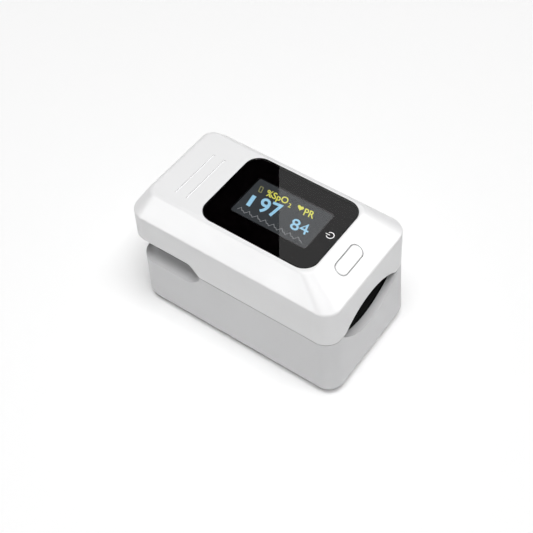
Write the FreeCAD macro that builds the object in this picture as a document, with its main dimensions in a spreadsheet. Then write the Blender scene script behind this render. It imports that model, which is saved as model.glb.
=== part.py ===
import FreeCAD, Part
import math
import os
import re
import Sketcher

# Fingertip pulse oximeter: a sprung clip of two halves on one hinge pin.
# Millimetres. +X points out of the finger opening, +Z up, the base stands on Z = 0, and the origin
# is the middle of the footprint.

doc = FreeCAD.newDocument("fingertip_pulse_oximeter")

DIMENSIONS = [
    # outside of the closed clip
    ("overall_length", 61.6, "rear of the upper half to the foot of the front wall"),
    ("overall_width", 35.2, "across both side walls"),
    ("overall_height", 34.8, "base to the top of the display window"),
    ("plan_radius", 4.6, "upright corners of both halves"),
    ("seam_height", 18.95, "middle of the seam between the halves"),
    ("seam_gap", 0.2, "clearance between the two rims"),
    ("shoulder_height", 29.6, "where the side walls turn into the bevels"),
    ("table_width", 25.8, "flat top between the two long bevels"),
    ("table_radius", 3.0, "corners of the flat top"),
    ("table_rear_inset", 2.9, "flat top back from the rear end"),
    ("table_front_inset", 12.0, "flat top back from the front end, where the ramp begins"),
    ("shoulder_front_inset", 2.7, "front shoulder back from the front end"),
    ("foot_overrun", 0.36, "front wall's plane past the front end at the base, lost to the rounding"),
    ("seam_front_inset", 1.9, "front wall at the seam back from the front end"),
    ("upper_rear_draft", 0.5, "how far the upper rear wall leans in down to the gap"),
    ("lower_rear_inset_top", 2.3, "lower rear wall forward of the upper one, at the seam"),
    ("lower_rear_inset_base", 3.1, "the same at the base"),
    ("table_round", 1.5, "rounding between the flat top and the bevels"),
    ("shoulder_round", 0.7, "rounding along the shoulder"),
    ("base_round", 3.2, "rounding along the base"),
    ("wall", 1.6, "side walls of both covers"),
    ("top_wall", 2.1, "upper cover under its flat top"),
    ("base_wall", 1.5, "lower cover's base and the battery door"),
    # rear pinch gap
    ("gap_front_x", -9.1, "front end of the gap at the seam"),
    ("gap_run", 2.9, "length of the gap's sloping front end"),
    ("gap_top_height", 22.0, "lower edge of the upper cover above the gap"),
    ("gap_round", 2.5, "rounding at the top of the sloping end"),
    ("deck_height", 17.15, "top of the lower cover below the gap"),
    ("deck_floor", 14.4, "underside of that deck"),
    ("scoop_radius", 5.2, "hollow swept round the rear rim of the lower cover"),
    ("scoop_offset", 1.5, "centre of the hollow outside the wall"),
    ("scoop_height", 20.0, "centre of the hollow above the base"),
    ("scoop_front_x", -13.9, "centre of the hollow's rounded front ends"),
    ("scoop_rim_inset", 3.4, "rim of the lower cover behind the hollow, in from the side wall"),
    # finger opening and tunnel
    ("arch_radius", 17.8, "arch in the upper front wall"),
    ("arch_top_height", 23.1, "top of that arch"),
    ("sill_radius", 15.6, "hollow sill in the lower front wall"),
    ("sill_low_height", 12.9, "lowest point of the sill"),
    ("pad_half_width", 14.4, "both finger pads"),
    ("pad_wall_gap", 0.4, "finger pads behind the front walls"),
    ("stop_gap", 0.2, "rear face of the finger pads ahead of the lower cover's gap wall"),
    ("stop_thickness", 1.6, "end wall that the fingertip meets"),
    ("cradle_radius", 12.0, "hollow of the lower pad under the finger"),
    ("cradle_height", 15.6, "lowest point of that hollow"),
    ("flare_start_x", 17.0, "where the lower pad begins to flare down to the sill"),
    ("upper_pad_rim", 19.2, "lowest edge of the upper pad"),
    ("lower_pad_rim", 18.7, "highest edge of the lower pad"),
    ("pad_nose_floor", 11.2, "underside of the lower pad's nose ahead of the battery tray"),
    ("pad_seat_gap", 0.05, "every finger pad, lens and board off the face that it lies on"),
    ("room_gap", 0.1, "spare room round boards, lenses and sockets"),
    ("head_gap", 0.2, "spare room round screw heads and cables"),
    ("root_depth", 0.5, "how deep walls, ears and posts are rooted in their plates"),
    ("pad_step_gap", 0.2, "lower pad's nose ahead of the battery tray"),
    # display
    ("window_length", 31.8, "black window along X"),
    ("window_width", 24.4, "black window along Y"),
    ("window_radius", 4.0, "corners of the window"),
    ("window_centre_x", 2.43, "middle of the window"),
    ("window_thickness", 1.0, "acrylic sheet"),
    ("window_proud", 0.1, "window above the flat top"),
    ("window_gap", 0.1, "window in its recess, all round"),
    ("adhesive_thickness", 0.15, "tape frame under the window"),
    ("panel_length", 26.4, "display panel along X"),
    ("panel_width", 17.6, "display panel along Y"),
    ("panel_thickness", 1.4, "display panel"),
    ("panel_centre_x", 2.6, "middle of the display panel"),
    ("panel_gap", 0.3, "display panel in the cover's opening"),
    ("holder_wall", 1.2, "frame that carries the display panel"),
    ("flex_thickness", 0.15, "flat flexible cables"),
    ("socket_length", 2.6, "cable sockets on the main board"),
    ("socket_height", 0.8, "cable sockets on the main board"),
    ("socket_side", 0.8, "cable sockets wider than their cables, each side"),
    ("socket_lip", 0.6, "mouth of a socket past the cable's end"),
    ("panel_flex_bend", 0.9, "bends of the display panel's cable"),
    ("panel_flex_end", 2.2, "display panel's cable from its bend to its end"),
    ("panel_flex_width", 12.0, "cable from the display panel"),
    ("jaw_flex_width", 4.4, "cable between the two halves"),
    ("jaw_flex_bend", 0.3, "bends of that cable"),
    ("jaw_flex_rise", 2.1, "that cable's upright run behind the hinge pin"),
    ("jaw_flex_end", 0.2, "that cable's end ahead of the hinge pin"),
    # main board, switch and button
    ("board_height", 27.2, "underside of the main board"),
    ("board_thickness", 1.0, "main board"),
    ("board_half_width", 11.0, "main board"),
    ("board_end_gap", 1.4, "main board short of the cover's end walls"),
    ("switch_size", 4.5, "switch body along X and Y"),
    ("switch_thickness", 1.0, "switch body"),
    ("plunger_radius", 1.1, "switch plunger"),
    ("plunger_gap", 0.05, "plunger in the switch body, all round"),
    ("plunger_proud", 0.45, "plunger above the switch body"),
    ("plunger_sunk", 0.5, "plunger inside the switch body"),
    ("switch_floor", 0.1, "floor of the plunger's well"),
    ("button_centre_x", 22.8, "middle of the power button"),
    ("button_centre_y", -1.9, "middle of the power button"),
    ("button_length", 9.5, "power button along Y"),
    ("button_width", 3.1, "power button along X"),
    ("button_gap", 0.15, "button in its hole, all round"),
    ("button_proud", 0.2, "button above the ramp"),
    ("button_flange", 0.8, "flange round the button's foot"),
    ("flange_thickness", 0.5, "that flange"),
    ("button_clearance", 0.1, "button over the plunger and flange under the cover"),
    # upper frame and its emitter
    ("frame_height", 25.2, "underside of the upper frame's plate"),
    ("frame_thickness", 1.2, "plates of the upper frame"),
    ("frame_gap", 0.3, "inner frames inside the cover walls"),
    ("rear_plate_height", 22.5, "underside of the upper frame's rear plate"),
    ("rear_plate_x", -14.8, "front end of that plate"),
    ("sensor_x", 2.0, "emitter and receiver along the tunnel"),
    ("sensor_board_length", 8.0, "emitter and receiver boards along X"),
    ("sensor_board_width", 6.0, "emitter and receiver boards along Y"),
    ("sensor_board_thickness", 0.4, "emitter and receiver boards"),
    ("sensor_chip_thickness", 0.5, "light-emitting and light-sensing chips"),
    ("emitter_chip_size", 1.2, "each of the two light-emitting chips"),
    ("emitter_chip_offset", 0.9, "light-emitting chips off the sensor's middle"),
    ("receiver_chip_size", 3.0, "light-sensing chip"),
    ("emitter_lead_x", 3.8, "emitter's flat lead behind the sensor's middle"),
    ("emitter_lead_width", 4.0, "emitter's flat lead"),
    ("lead_slot_room", 0.8, "slot in the upper frame round that lead, along X"),
    ("lens_length", 5.6, "clear sensor windows along X"),
    ("lens_width", 4.6, "clear sensor windows along Y"),
    ("lens_thickness", 0.6, "clear sensor windows"),
    # hinge
    ("hinge_x", -11.1, "hinge pin"),
    ("hinge_height", 19.3, "hinge pin"),
    ("pin_radius", 1.0, "hinge pin"),
    ("pin_clearance", 0.03, "hinge pin in its bores, all round"),
    ("pin_short", 0.4, "hinge pin short of the posts' outer faces, each end"),
    ("knuckle_radius", 2.0, "hinge ears and posts round the pin"),
    ("pin_chamfer", 0.2, "ends of the hinge pin"),
    ("hinge_room", 0.4, "lower cover's deck behind the upper cover's sloping end"),
    ("ear_thickness", 2.3, "upper frame's ears and battery tray's posts"),
    ("post_gap", 0.3, "between an ear and its post"),
    ("spring_length", 3.8, "coil of each hinge spring"),
    ("spring_radius", 1.75, "middle of the spring wire"),
    ("spring_wire", 0.35, "radius of the spring wire"),
    ("spring_turns", 4.0, "turns of each coil"),
    ("spring_leg", 9.8, "straight legs of the hinge springs"),
    ("spring_leg_angle", 6.0, "upper legs slope up by this many degrees"),
    # battery bay
    ("cell_radius", 5.25, "battery cell"),
    ("cell_length", 44.5, "battery cell with its positive end"),
    ("cell_spacing", 10.8, "between the two cell axes"),
    ("cell_rear_room", 2.7, "rear ends of both cells ahead of the rear wall's inside"),
    ("cell_lift", 0.4, "cells above the door"),
    ("cell_button_radius", 1.9, "positive end of a cell"),
    ("cell_button_length", 0.9, "positive end of a cell"),
    ("cell_chamfer", 0.4, "edges of a cell's barrel"),
    ("tray_gap", 0.25, "battery tray round the cells"),
    ("tray_thickness", 1.1, "battery tray's roof"),
    ("tray_wall", 1.0, "battery tray's upright walls"),
    ("contact_thickness", 0.3, "battery contact plates"),
    ("contact_height", 8.0, "battery contact plates"),
    ("contact_width", 8.0, "battery contact plates"),
    ("contact_spring_room", 1.0, "between the rear contact plate and the cells"),
    ("contact_spring_wire", 0.2, "radius of the battery spring wire"),
    ("contact_spring_radius", 3.0, "middle of the battery spring's wire"),
    ("contact_spring_turns", 1.25, "turns of the battery spring, almost closed by its cell"),
    ("contact_spring_gap", 0.02, "battery spring off its plate and off its cell"),
    # battery door
    ("door_half_width", 11.9, "battery door"),
    ("door_front_x", 20.0, "front edge of the battery door"),
    ("door_gap", 0.1, "battery door in the lower cover, all round"),
    ("tongue_width", 1.0, "guide tongue along each side of the door"),
    ("tongue_height", 0.6, "underside of the tongues"),
    ("tongue_thickness", 0.5, "guide tongues"),
    ("grip_pitch", 1.6, "grooves of the door's thumb grip"),
    ("grip_grooves", 5, "number of those grooves"),
    ("tongue_end", 1.0, "guide tongues short of the door's front edge"),
    # screws
    ("screw_radius", 0.85, "all eight screws"),
    ("screw_hole_clearance", 0.02, "screws in their holes, all round"),
    ("screw_length", 5.0, "all eight screws, under the head"),
    ("screw_head_radius", 1.5, "screw heads"),
    ("screw_head_thickness", 0.6, "screw heads"),
    ("drive_reach", 0.9, "arms of the cross in a screw head"),
    ("drive_half_width", 0.2, "arms of that cross"),
    ("boss_radius", 2.2, "screw bosses in both covers"),
    ("tip_room", 0.2, "screw holes deeper than the screws"),
    ("screw_y", 13.3, "screws off the centre plane"),
    ("screw_front_x", 14.0, "front screws"),
    ("screw_rear_x", -20.5, "rear screws"),
    # grip lines on the flat top
    ("groove_length", 15.5, "the two grip lines"),
    ("groove_width", 0.5, "the two grip lines"),
    ("groove_depth", 0.25, "the two grip lines"),
    ("groove_front_x", -18.3, "the front grip line"),
    ("groove_centre_y", -1.7, "middle of the grip lines"),
    ("groove_spacing", 3.2, "between the grip lines"),
]

sheet = doc.addObject("Spreadsheet::Sheet", "dims")
for row, (alias, number, meaning) in enumerate(DIMENSIONS, start=1):
    sheet.set(f"A{row}", meaning)
    sheet.set(f"B{row}", str(number))
    sheet.setAlias(f"B{row}", alias)
doc.recompute()

ALIASES = {alias for alias, number, meaning in DIMENSIONS}
PARTS = {}
OVERCUT = 1  # cutting tools run this far past the faces that they cut


# ---------------------------------------------------------------- formulas over the sheet

def formula(text):
    """A formula in the sheet's words, as FreeCAD wants it."""
    return re.sub(r"[a-z_]+", lambda word: f"dims.{word[0]}" if word[0] in ALIASES else word[0], str(text))


def value(text):
    return float(sheet.evalExpression(formula(text)))


def bind(thing, setting, text):
    thing.setExpression(setting, formula(text))


REAR_X = "(-overall_length / 2)"
FRONT_X = "(overall_length / 2)"
HALF_WIDTH = "(overall_width / 2)"
TABLE_Z = "(overall_height - window_proud)"
TABLE_FRONT_X = f"({FRONT_X} - table_front_inset)"
TABLE_REAR_X = f"({REAR_X} + table_rear_inset)"
SHOULDER_FRONT_X = f"({FRONT_X} - shoulder_front_inset)"
SEAM_FRONT_X = f"({FRONT_X} - seam_front_inset)"
UPPER_RIM_Z = "(seam_height + seam_gap / 2)"
LOWER_RIM_Z = "(seam_height - seam_gap / 2)"
LOWER_REAR_TOP_X = f"({REAR_X} + lower_rear_inset_top)"
LOWER_REAR_BASE_X = f"({REAR_X} + lower_rear_inset_base)"
RAMP_SLOPE = f"(({TABLE_Z} - shoulder_height) / ({SHOULDER_FRONT_X} - {TABLE_FRONT_X}))"
RECESS_Z = "(overall_height - window_thickness - adhesive_thickness)"
PANEL_TOP_Z = f"({RECESS_Z} - pad_seat_gap)"
PANEL_Z = f"({PANEL_TOP_Z} - panel_thickness)"
BOARD_TOP_Z = "(board_height + board_thickness)"
FRAME_TOP_Z = "(frame_height + frame_thickness)"
REAR_PLATE_TOP_Z = "(rear_plate_height + frame_thickness)"
SWITCH_TOP_Z = f"({BOARD_TOP_Z} + switch_thickness)"
PLUNGER_TOP_Z = f"({SWITCH_TOP_Z} + plunger_proud)"
FLANGE_Z = f"({PLUNGER_TOP_Z} + button_clearance)"
BUTTON_BOSS_Z = f"({FLANGE_Z} + flange_thickness + button_clearance)"
CELL_Z = "(base_wall + cell_lift + cell_radius)"
CELL_REAR_X = f"({LOWER_REAR_BASE_X} + wall + cell_rear_room)"
CELL_FRONT_X = f"({CELL_REAR_X} + cell_length)"
TRAY_Z = f"({CELL_Z} + cell_radius + tray_gap)"
TRAY_TOP_Z = f"({TRAY_Z} + tray_thickness)"
LOWER_PAD_Z = f"({TRAY_TOP_Z} + pad_seat_gap)"
UPPER_PAD_TOP_Z = "(frame_height - pad_seat_gap)"
TRAY_FRONT_X = f"({CELL_FRONT_X} + contact_thickness + tray_wall + 2 * pad_seat_gap)"
INNER_FRONT_X = f"({SEAM_FRONT_X} - wall)"
PAD_FRONT_X = f"({INNER_FRONT_X} - pad_wall_gap)"
UPPER_FRONT_X = f"({SHOULDER_FRONT_X} - wall - pad_wall_gap)"
WELL_HALF_WIDTH = f"({HALF_WIDTH} - scoop_rim_inset - wall)"
POST_INNER_Y = f"({WELL_HALF_WIDTH} - ear_thickness)"
EAR_INNER_Y = f"({POST_INNER_Y} - post_gap - ear_thickness)"
SPRING_INNER_Y = f"({EAR_INNER_Y} - spring_length - 2 * spring_wire)"
PIN_HALF_LENGTH = f"({WELL_HALF_WIDTH} - pin_short)"
STOP_X = "(gap_front_x + wall + stop_gap)"
TUNNEL_REAR_X = f"({STOP_X} + stop_thickness)"
PAD_RADIUS = "(plan_radius - wall - pad_wall_gap)"


# ---------------------------------------------------------------- drawing helpers

def keep(piece, name):
    """Names a finished piece and lists it for export."""
    piece.Label = name
    PARTS[name] = piece
    return piece


def new_body(name):
    return doc.addObject("PartDesign::Body", name)


def sketch_on(body, name, role, offset="0"):
    plane = next(item for item in body.Origin.OriginFeatures if item.Role == role)
    sketch = body.newObject("Sketcher::SketchObject", name)
    sketch.AttachmentSupport = (plane, [""])
    sketch.MapMode = "FlatFace"
    bind(sketch, "AttachmentOffset.Base.z", offset)
    return sketch


def dimension(sketch, kind, where, text):
    index = sketch.addConstraint(Sketcher.Constraint(kind, *where, value(text)))
    sketch.setExpression(f"Constraints[{index}]", formula(text))


def place(sketch, kind, element, end, text):
    """Holds one coordinate of a point; the sheet's sign decides which way it is measured."""
    if value(text) == 0:
        axis = -2 if kind == "DistanceX" else -1
        sketch.addConstraint(Sketcher.Constraint("PointOnObject", element, end, axis))
    elif value(text) > 0:
        dimension(sketch, kind, (-1, 1, element, end), text)
    else:
        dimension(sketch, kind, (element, end, -1, 1), f"-({text})")


def line(sketch, start, end):
    first = FreeCAD.Vector(value(start[0]), value(start[1]), 0)
    second = FreeCAD.Vector(value(end[0]), value(end[1]), 0)
    return sketch.addGeometry(Part.LineSegment(first, second), False)


def arc(sketch, centre, radius, from_degrees, to_degrees):
    middle = FreeCAD.Vector(value(centre[0]), value(centre[1]), 0)
    circle = Part.Circle(middle, FreeCAD.Vector(0, 0, 1), value(radius))
    piece = Part.ArcOfCircle(circle, math.radians(from_degrees), math.radians(to_degrees))
    return sketch.addGeometry(piece, False)


def polygon(sketch, corners):
    """A closed outline of straight lines, with every corner held."""
    count = len(corners)
    for index in range(count):
        line(sketch, corners[index], corners[(index + 1) % count])
    for index in range(count):
        after = (index + 1) % count
        sketch.addConstraint(Sketcher.Constraint("Coincident", index, 2, after, 1))
        place(sketch, "DistanceX", index, 1, corners[index][0])
        place(sketch, "DistanceY", index, 1, corners[index][1])


def rounded_rectangle(sketch, left, right, low, high, radius):
    inner_left = f"({left}) + ({radius})"
    inner_right = f"({right}) - ({radius})"
    inner_low = f"({low}) + ({radius})"
    inner_high = f"({high}) - ({radius})"
    line(sketch, (inner_left, low), (inner_right, low))
    arc(sketch, (inner_right, inner_low), radius, 270, 360)
    line(sketch, (right, inner_low), (right, inner_high))
    arc(sketch, (inner_right, inner_high), radius, 0, 90)
    line(sketch, (inner_right, high), (inner_left, high))
    arc(sketch, (inner_left, inner_high), radius, 90, 180)
    line(sketch, (left, inner_high), (left, inner_low))
    arc(sketch, (inner_left, inner_low), radius, 180, 270)
    for index in range(8):
        sketch.addConstraint(Sketcher.Constraint("Tangent", index, 2, (index + 1) % 8, 1))
    for index, kind in ((0, "Horizontal"), (2, "Vertical"), (4, "Horizontal"), (6, "Vertical")):
        sketch.addConstraint(Sketcher.Constraint(kind, index))
    for index in (3, 5, 7):
        sketch.addConstraint(Sketcher.Constraint("Equal", 1, index))
    dimension(sketch, "Radius", (1,), radius)
    place(sketch, "DistanceY", 0, 1, low)
    place(sketch, "DistanceX", 2, 1, right)
    place(sketch, "DistanceY", 4, 1, high)
    place(sketch, "DistanceX", 6, 1, left)


def stadium(sketch, centre_x, centre_y, length, width):
    """An oval with straight sides along Y."""
    reach = f"(({length}) - ({width})) / 2"
    radius = f"({width}) / 2"
    far_y = f"({centre_y}) + {reach}"
    near_y = f"({centre_y}) - {reach}"
    left = f"({centre_x}) - {radius}"
    right = f"({centre_x}) + {radius}"
    line(sketch, (right, near_y), (right, far_y))
    arc(sketch, (centre_x, far_y), radius, 0, 180)
    line(sketch, (left, far_y), (left, near_y))
    arc(sketch, (centre_x, near_y), radius, 180, 360)
    for index in range(4):
        sketch.addConstraint(Sketcher.Constraint("Tangent", index, 2, (index + 1) % 4, 1))
    sketch.addConstraint(Sketcher.Constraint("Vertical", 0))
    dimension(sketch, "Radius", (1,), radius)
    place(sketch, "DistanceX", 1, 3, centre_x)
    place(sketch, "DistanceY", 1, 3, far_y)
    place(sketch, "DistanceY", 3, 3, near_y)


def circle(sketch, centre_x, centre_y, radius):
    middle = FreeCAD.Vector(value(centre_x), value(centre_y), 0)
    index = sketch.addGeometry(Part.Circle(middle, FreeCAD.Vector(0, 0, 1), value(radius)), False)
    dimension(sketch, "Radius", (index,), radius)
    place(sketch, "DistanceX", index, 3, centre_x)
    place(sketch, "DistanceY", index, 3, centre_y)


# ---------------------------------------------------------------- solid helpers

def pad(body, name, sketch, length, both_ways=False):
    feature = body.newObject("PartDesign::Pad", name)
    feature.Profile = sketch
    feature.Midplane = both_ways
    bind(feature, "Length", length)
    return feature


def pocket(body, name, sketch, length, both_ways=False):
    """Cuts against the sketch's normal, or both ways from it."""
    feature = body.newObject("PartDesign::Pocket", name)
    feature.Profile = sketch
    feature.Midplane = both_ways
    bind(feature, "Length", length)
    return feature


def loft(body, name, sketches):
    feature = body.newObject("PartDesign::AdditiveLoft", name)
    feature.Profile = sketches[0]
    feature.Sections = sketches[1:]
    feature.Ruled = True
    return feature


def turned(body, name, sketch, axis):
    """A Revolution about one axis of its own sketch, H_Axis or V_Axis."""
    feature = body.newObject("PartDesign::Revolution", name)
    feature.Profile = sketch
    feature.ReferenceAxis = (sketch, [axis])
    feature.Angle = 360
    return feature


def round_edges(body, name, feature, radius, chosen):
    """A Fillet on those edges of a feature for which chosen(edge) holds."""
    doc.recompute()
    edges = feature.Shape.Edges
    names = [f"Edge{index}" for index, edge in enumerate(edges, start=1) if chosen(edge)]
    fillet = body.newObject("PartDesign::Fillet", name)
    fillet.Base = (feature, names)
    bind(fillet, "Radius", radius)
    return fillet


def level_at(height):
    """Picks the edges that lie level at a height."""
    wanted = value(height)
    return lambda edge: all(abs(corner.Point.z - wanted) < 1e-4 for corner in edge.Vertexes)


def block(name, left, right, low_y, high_y, low, high):
    box = doc.addObject("Part::Box", name)
    bind(box, "Length", f"({right}) - ({left})")
    bind(box, "Width", f"({high_y}) - ({low_y})")
    bind(box, "Height", f"({high}) - ({low})")
    bind(box, "Placement.Base.x", left)
    bind(box, "Placement.Base.y", low_y)
    bind(box, "Placement.Base.z", low)
    return box


def level_block(name, left, right, half_width, low, high):
    return block(name, left, right, f"-({half_width})", half_width, low, high)


ALONG = {
    "X": FreeCAD.Rotation(FreeCAD.Vector(0, 1, 0), 90),
    "Y": FreeCAD.Rotation(FreeCAD.Vector(1, 0, 0), -90),
    "Z": FreeCAD.Rotation(),
}


def rod(name, axis, start, radius, length):
    """A cylinder that starts at a point and runs along a positive axis."""
    cylinder = doc.addObject("Part::Cylinder", name)
    cylinder.Placement = FreeCAD.Placement(FreeCAD.Vector(), ALONG[axis])
    bind(cylinder, "Radius", radius)
    bind(cylinder, "Height", length)
    for letter, text in zip("xyz", start):
        bind(cylinder, f"Placement.Base.{letter}", text)
    return cylinder


def level_rod(name, centre_x, centre_z, radius, half_length):
    """A cylinder across the width, centred on the middle plane."""
    return rod(name, "Y", (centre_x, f"-({half_length})", centre_z), radius, f"2 * ({half_length})")


def fuse(name, pieces):
    union = doc.addObject("Part::MultiFuse", name)
    union.Shapes = pieces
    return union


def cut(name, base, tools):
    difference = doc.addObject("Part::Cut", name)
    difference.Base = base
    difference.Tool = tools[0] if len(tools) == 1 else fuse(f"{name}_tools", tools)
    return difference


def common(name, first, second):
    overlap = doc.addObject("Part::Common", name)
    overlap.Base = first
    overlap.Tool = second
    return overlap


def rounded_slab(name, left, right, half_width, radius, low, high):
    """A flat plate with rounded upright corners."""
    body = new_body(name)
    outline = sketch_on(body, f"{name}_outline", "XY_Plane", low)
    rounded_rectangle(outline, left, right, f"-({half_width})", half_width, radius)
    pad(body, f"{name}_pad", outline, f"({high}) - ({low})")
    return body


def tapered_shell_form(name, levels):
    """A solid through rounded rectangles: (height, rear x, front x, half width, radius) each."""
    body = new_body(name)
    outlines = []
    for index, (height, rear, front, half_width, radius) in enumerate(levels):
        outline = sketch_on(body, f"{name}_outline_{index}", "XY_Plane", height)
        rounded_rectangle(outline, rear, front, f"-({half_width})", half_width, radius)
        outlines.append(outline)
    return body, loft(body, f"{name}_loft", outlines)


def screw_places():
    """The four screw positions that each half has, as (tag, x, y)."""
    places = []
    for along, x in (("front", "screw_front_x"), ("rear", "screw_rear_x")):
        for side, sign in (("left", ""), ("right", "-")):
            places.append((f"{along}_{side}", x, f"{sign}screw_y"))
    return places


# ---------------------------------------------------------------- upper cover

def upper_outside():
    """The outer form: side walls, then bevels and front ramp up to the flat top."""
    rear_low = f"{REAR_X} + upper_rear_draft"
    body, form = tapered_shell_form("upper_outside", [
        (TABLE_Z, TABLE_REAR_X, TABLE_FRONT_X, "table_width / 2", "table_radius"),
        ("shoulder_height", REAR_X, SHOULDER_FRONT_X, HALF_WIDTH, "plan_radius"),
        (UPPER_RIM_Z, rear_low, SEAM_FRONT_X, HALF_WIDTH, "plan_radius"),
    ])
    shoulder = round_edges(body, "shoulder_fillet", form, "shoulder_round", level_at("shoulder_height"))
    round_edges(body, "table_fillet", shoulder, "table_round", level_at(TABLE_Z))
    return body


def upper_cavity():
    """The room inside the cover, without the bosses that stand in it."""
    rear = f"{REAR_X} + upper_rear_draft + wall"
    inner_top_z = f"({TABLE_Z} - top_wall)"
    body, form = tapered_shell_form("upper_cavity_form", [
        (f"{UPPER_RIM_Z} - {OVERCUT}", rear, INNER_FRONT_X, f"{HALF_WIDTH} - wall", "plan_radius - wall"),
        ("shoulder_height - wall / 2", rear, f"{SHOULDER_FRONT_X} - wall", f"{HALF_WIDTH} - wall",
         "plan_radius - wall"),
        (inner_top_z, f"{TABLE_REAR_X} + wall", f"{TABLE_FRONT_X} + wall / 2", "table_width / 2 - wall / 2",
         "table_radius"),
    ])
    standing = []
    for tag, x, y in screw_places():
        floor = FRAME_TOP_Z if tag.startswith("front") else REAR_PLATE_TOP_Z
        start = f"{floor} + pad_seat_gap"
        standing.append(rod(f"upper_boss_{tag}", "Z", (x, y, start), "boss_radius", "overall_height"))
    reach = "button_flange + button_gap + wall"
    standing.append(block(
        "button_boss",
        f"button_centre_x - button_width / 2 - {reach}", f"button_centre_x + button_width / 2 + {reach}",
        f"button_centre_y - button_length / 2 - {reach}", f"button_centre_y + button_length / 2 + {reach}",
        BUTTON_BOSS_Z, "overall_height"))
    return cut("upper_cavity", body, standing)


def rear_gap_form():
    """The wedge-ended gap below the rear of the upper cover, right across it."""
    body = new_body("rear_gap_form")
    outline = sketch_on(body, "rear_gap_outline", "XZ_Plane")
    polygon(outline, [
        (f"{REAR_X} - wall", "deck_floor"),
        ("gap_front_x", "deck_floor"),
        ("gap_front_x", UPPER_RIM_Z),
        ("gap_front_x - gap_run", "gap_top_height"),
        (f"{REAR_X} - wall", "gap_top_height"),
    ])
    form = pad(body, "rear_gap_pad", outline, "2 * overall_width", both_ways=True)
    corner_x = value("gap_front_x - gap_run")
    top_z = value("gap_top_height")

    def at_corner(edge):
        return all(math.hypot(end.Point.x - corner_x, end.Point.z - top_z) < 1e-4 for end in edge.Vertexes)

    round_edges(body, "rear_gap_fillet", form, "gap_round", at_corner)
    return body


def button_oval(name, margin, low, high):
    body = new_body(name)
    outline = sketch_on(body, f"{name}_outline", "XY_Plane", low)
    stadium(outline, "button_centre_x", "button_centre_y", f"(button_length + 2 * ({margin}))",
            f"(button_width + 2 * ({margin}))")
    pad(body, f"{name}_pad", outline, f"({high}) - ({low})")
    return body


def grip_line(name, x):
    half = "groove_width / 2"
    return block(name, f"{x} - {half}", f"{x} + {half}", "groove_centre_y - groove_length / 2",
                 "groove_centre_y + groove_length / 2", f"{TABLE_Z} - groove_depth", "overall_height + wall")


def make_upper_cover():
    window_left = "window_centre_x - window_length / 2 - window_gap"
    window_right = "window_centre_x + window_length / 2 + window_gap"
    recess = rounded_slab("window_recess", window_left, window_right, "window_width / 2 + window_gap",
                          "window_radius + window_gap", RECESS_Z, "overall_height + wall")
    panel_half = "panel_length / 2 + panel_gap"
    opening = level_block("panel_opening", f"panel_centre_x - ({panel_half})",
                          f"panel_centre_x + {panel_half}", "panel_width / 2 + panel_gap",
                          f"{PANEL_Z} - panel_thickness", "overall_height")
    button_hole = button_oval("button_hole", "button_gap", BOARD_TOP_Z, "overall_height")
    foot_room = button_oval("button_foot_room", "button_flange + 2 * button_gap", BOARD_TOP_Z, BUTTON_BOSS_Z)
    arch = rod("front_arch", "X", (f"{SEAM_FRONT_X} - 3 * wall", "0", "arch_top_height - arch_radius"),
               "arch_radius", "6 * wall")
    holes = []
    for tag, x, y in screw_places():
        floor = FRAME_TOP_Z if tag.startswith("front") else REAR_PLATE_TOP_Z
        holes.append(rod(f"upper_pilot_{tag}", "Z", (x, y, floor), "screw_radius + screw_hole_clearance",
                         "screw_length"))
    lines = [
        grip_line("front_grip_line", "groove_front_x"),
        grip_line("rear_grip_line", "(groove_front_x - groove_spacing)"),
    ]
    tools = [upper_cavity(), rear_gap_form(), recess, opening, button_hole, foot_room, arch] + holes + lines
    keep(cut("upper_cover_solid", upper_outside(), tools), "upper_cover")


# ---------------------------------------------------------------- display

def make_display():
    window_left = "window_centre_x - window_length / 2"
    window_right = "window_centre_x + window_length / 2"
    window = rounded_slab("window_sheet", window_left, window_right, "window_width / 2", "window_radius",
                          "overall_height - window_thickness", "overall_height")
    keep(window, "display_window")

    adhesive_z = "overall_height - window_thickness"
    sheet_form = rounded_slab("adhesive_sheet", window_left, window_right, "window_width / 2",
                              "window_radius", RECESS_Z, adhesive_z)
    half = "panel_length / 2 + panel_gap"
    hole = level_block("adhesive_hole", f"panel_centre_x - ({half})", f"panel_centre_x + {half}",
                       "panel_width / 2 + panel_gap", f"{RECESS_Z} - wall", "overall_height")
    keep(cut("adhesive_frame", sheet_form, [hole]), "window_adhesive")

    panel_rear = "(panel_centre_x - panel_length / 2)"
    panel_front = "(panel_centre_x + panel_length / 2)"
    panel = level_block("panel_block", panel_rear, panel_front, "panel_width / 2", PANEL_Z, PANEL_TOP_Z)
    keep(panel, "display_panel")

    frame = level_block("holder_block", panel_rear, panel_front, "panel_width / 2", BOARD_TOP_Z, PANEL_Z)
    inside = level_block("holder_inside", f"{panel_rear} + holder_wall", f"{panel_front} - holder_wall",
                         "panel_width / 2 - holder_wall", f"{BOARD_TOP_Z} - wall", "overall_height")
    keep(cut("holder_frame", frame, [inside]), "display_holder")


def left_of(direction):
    """The unit vector to the left of a direction in the XZ plane."""
    return FreeCAD.Vector(-direction.z, 0, direction.x)


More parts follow.
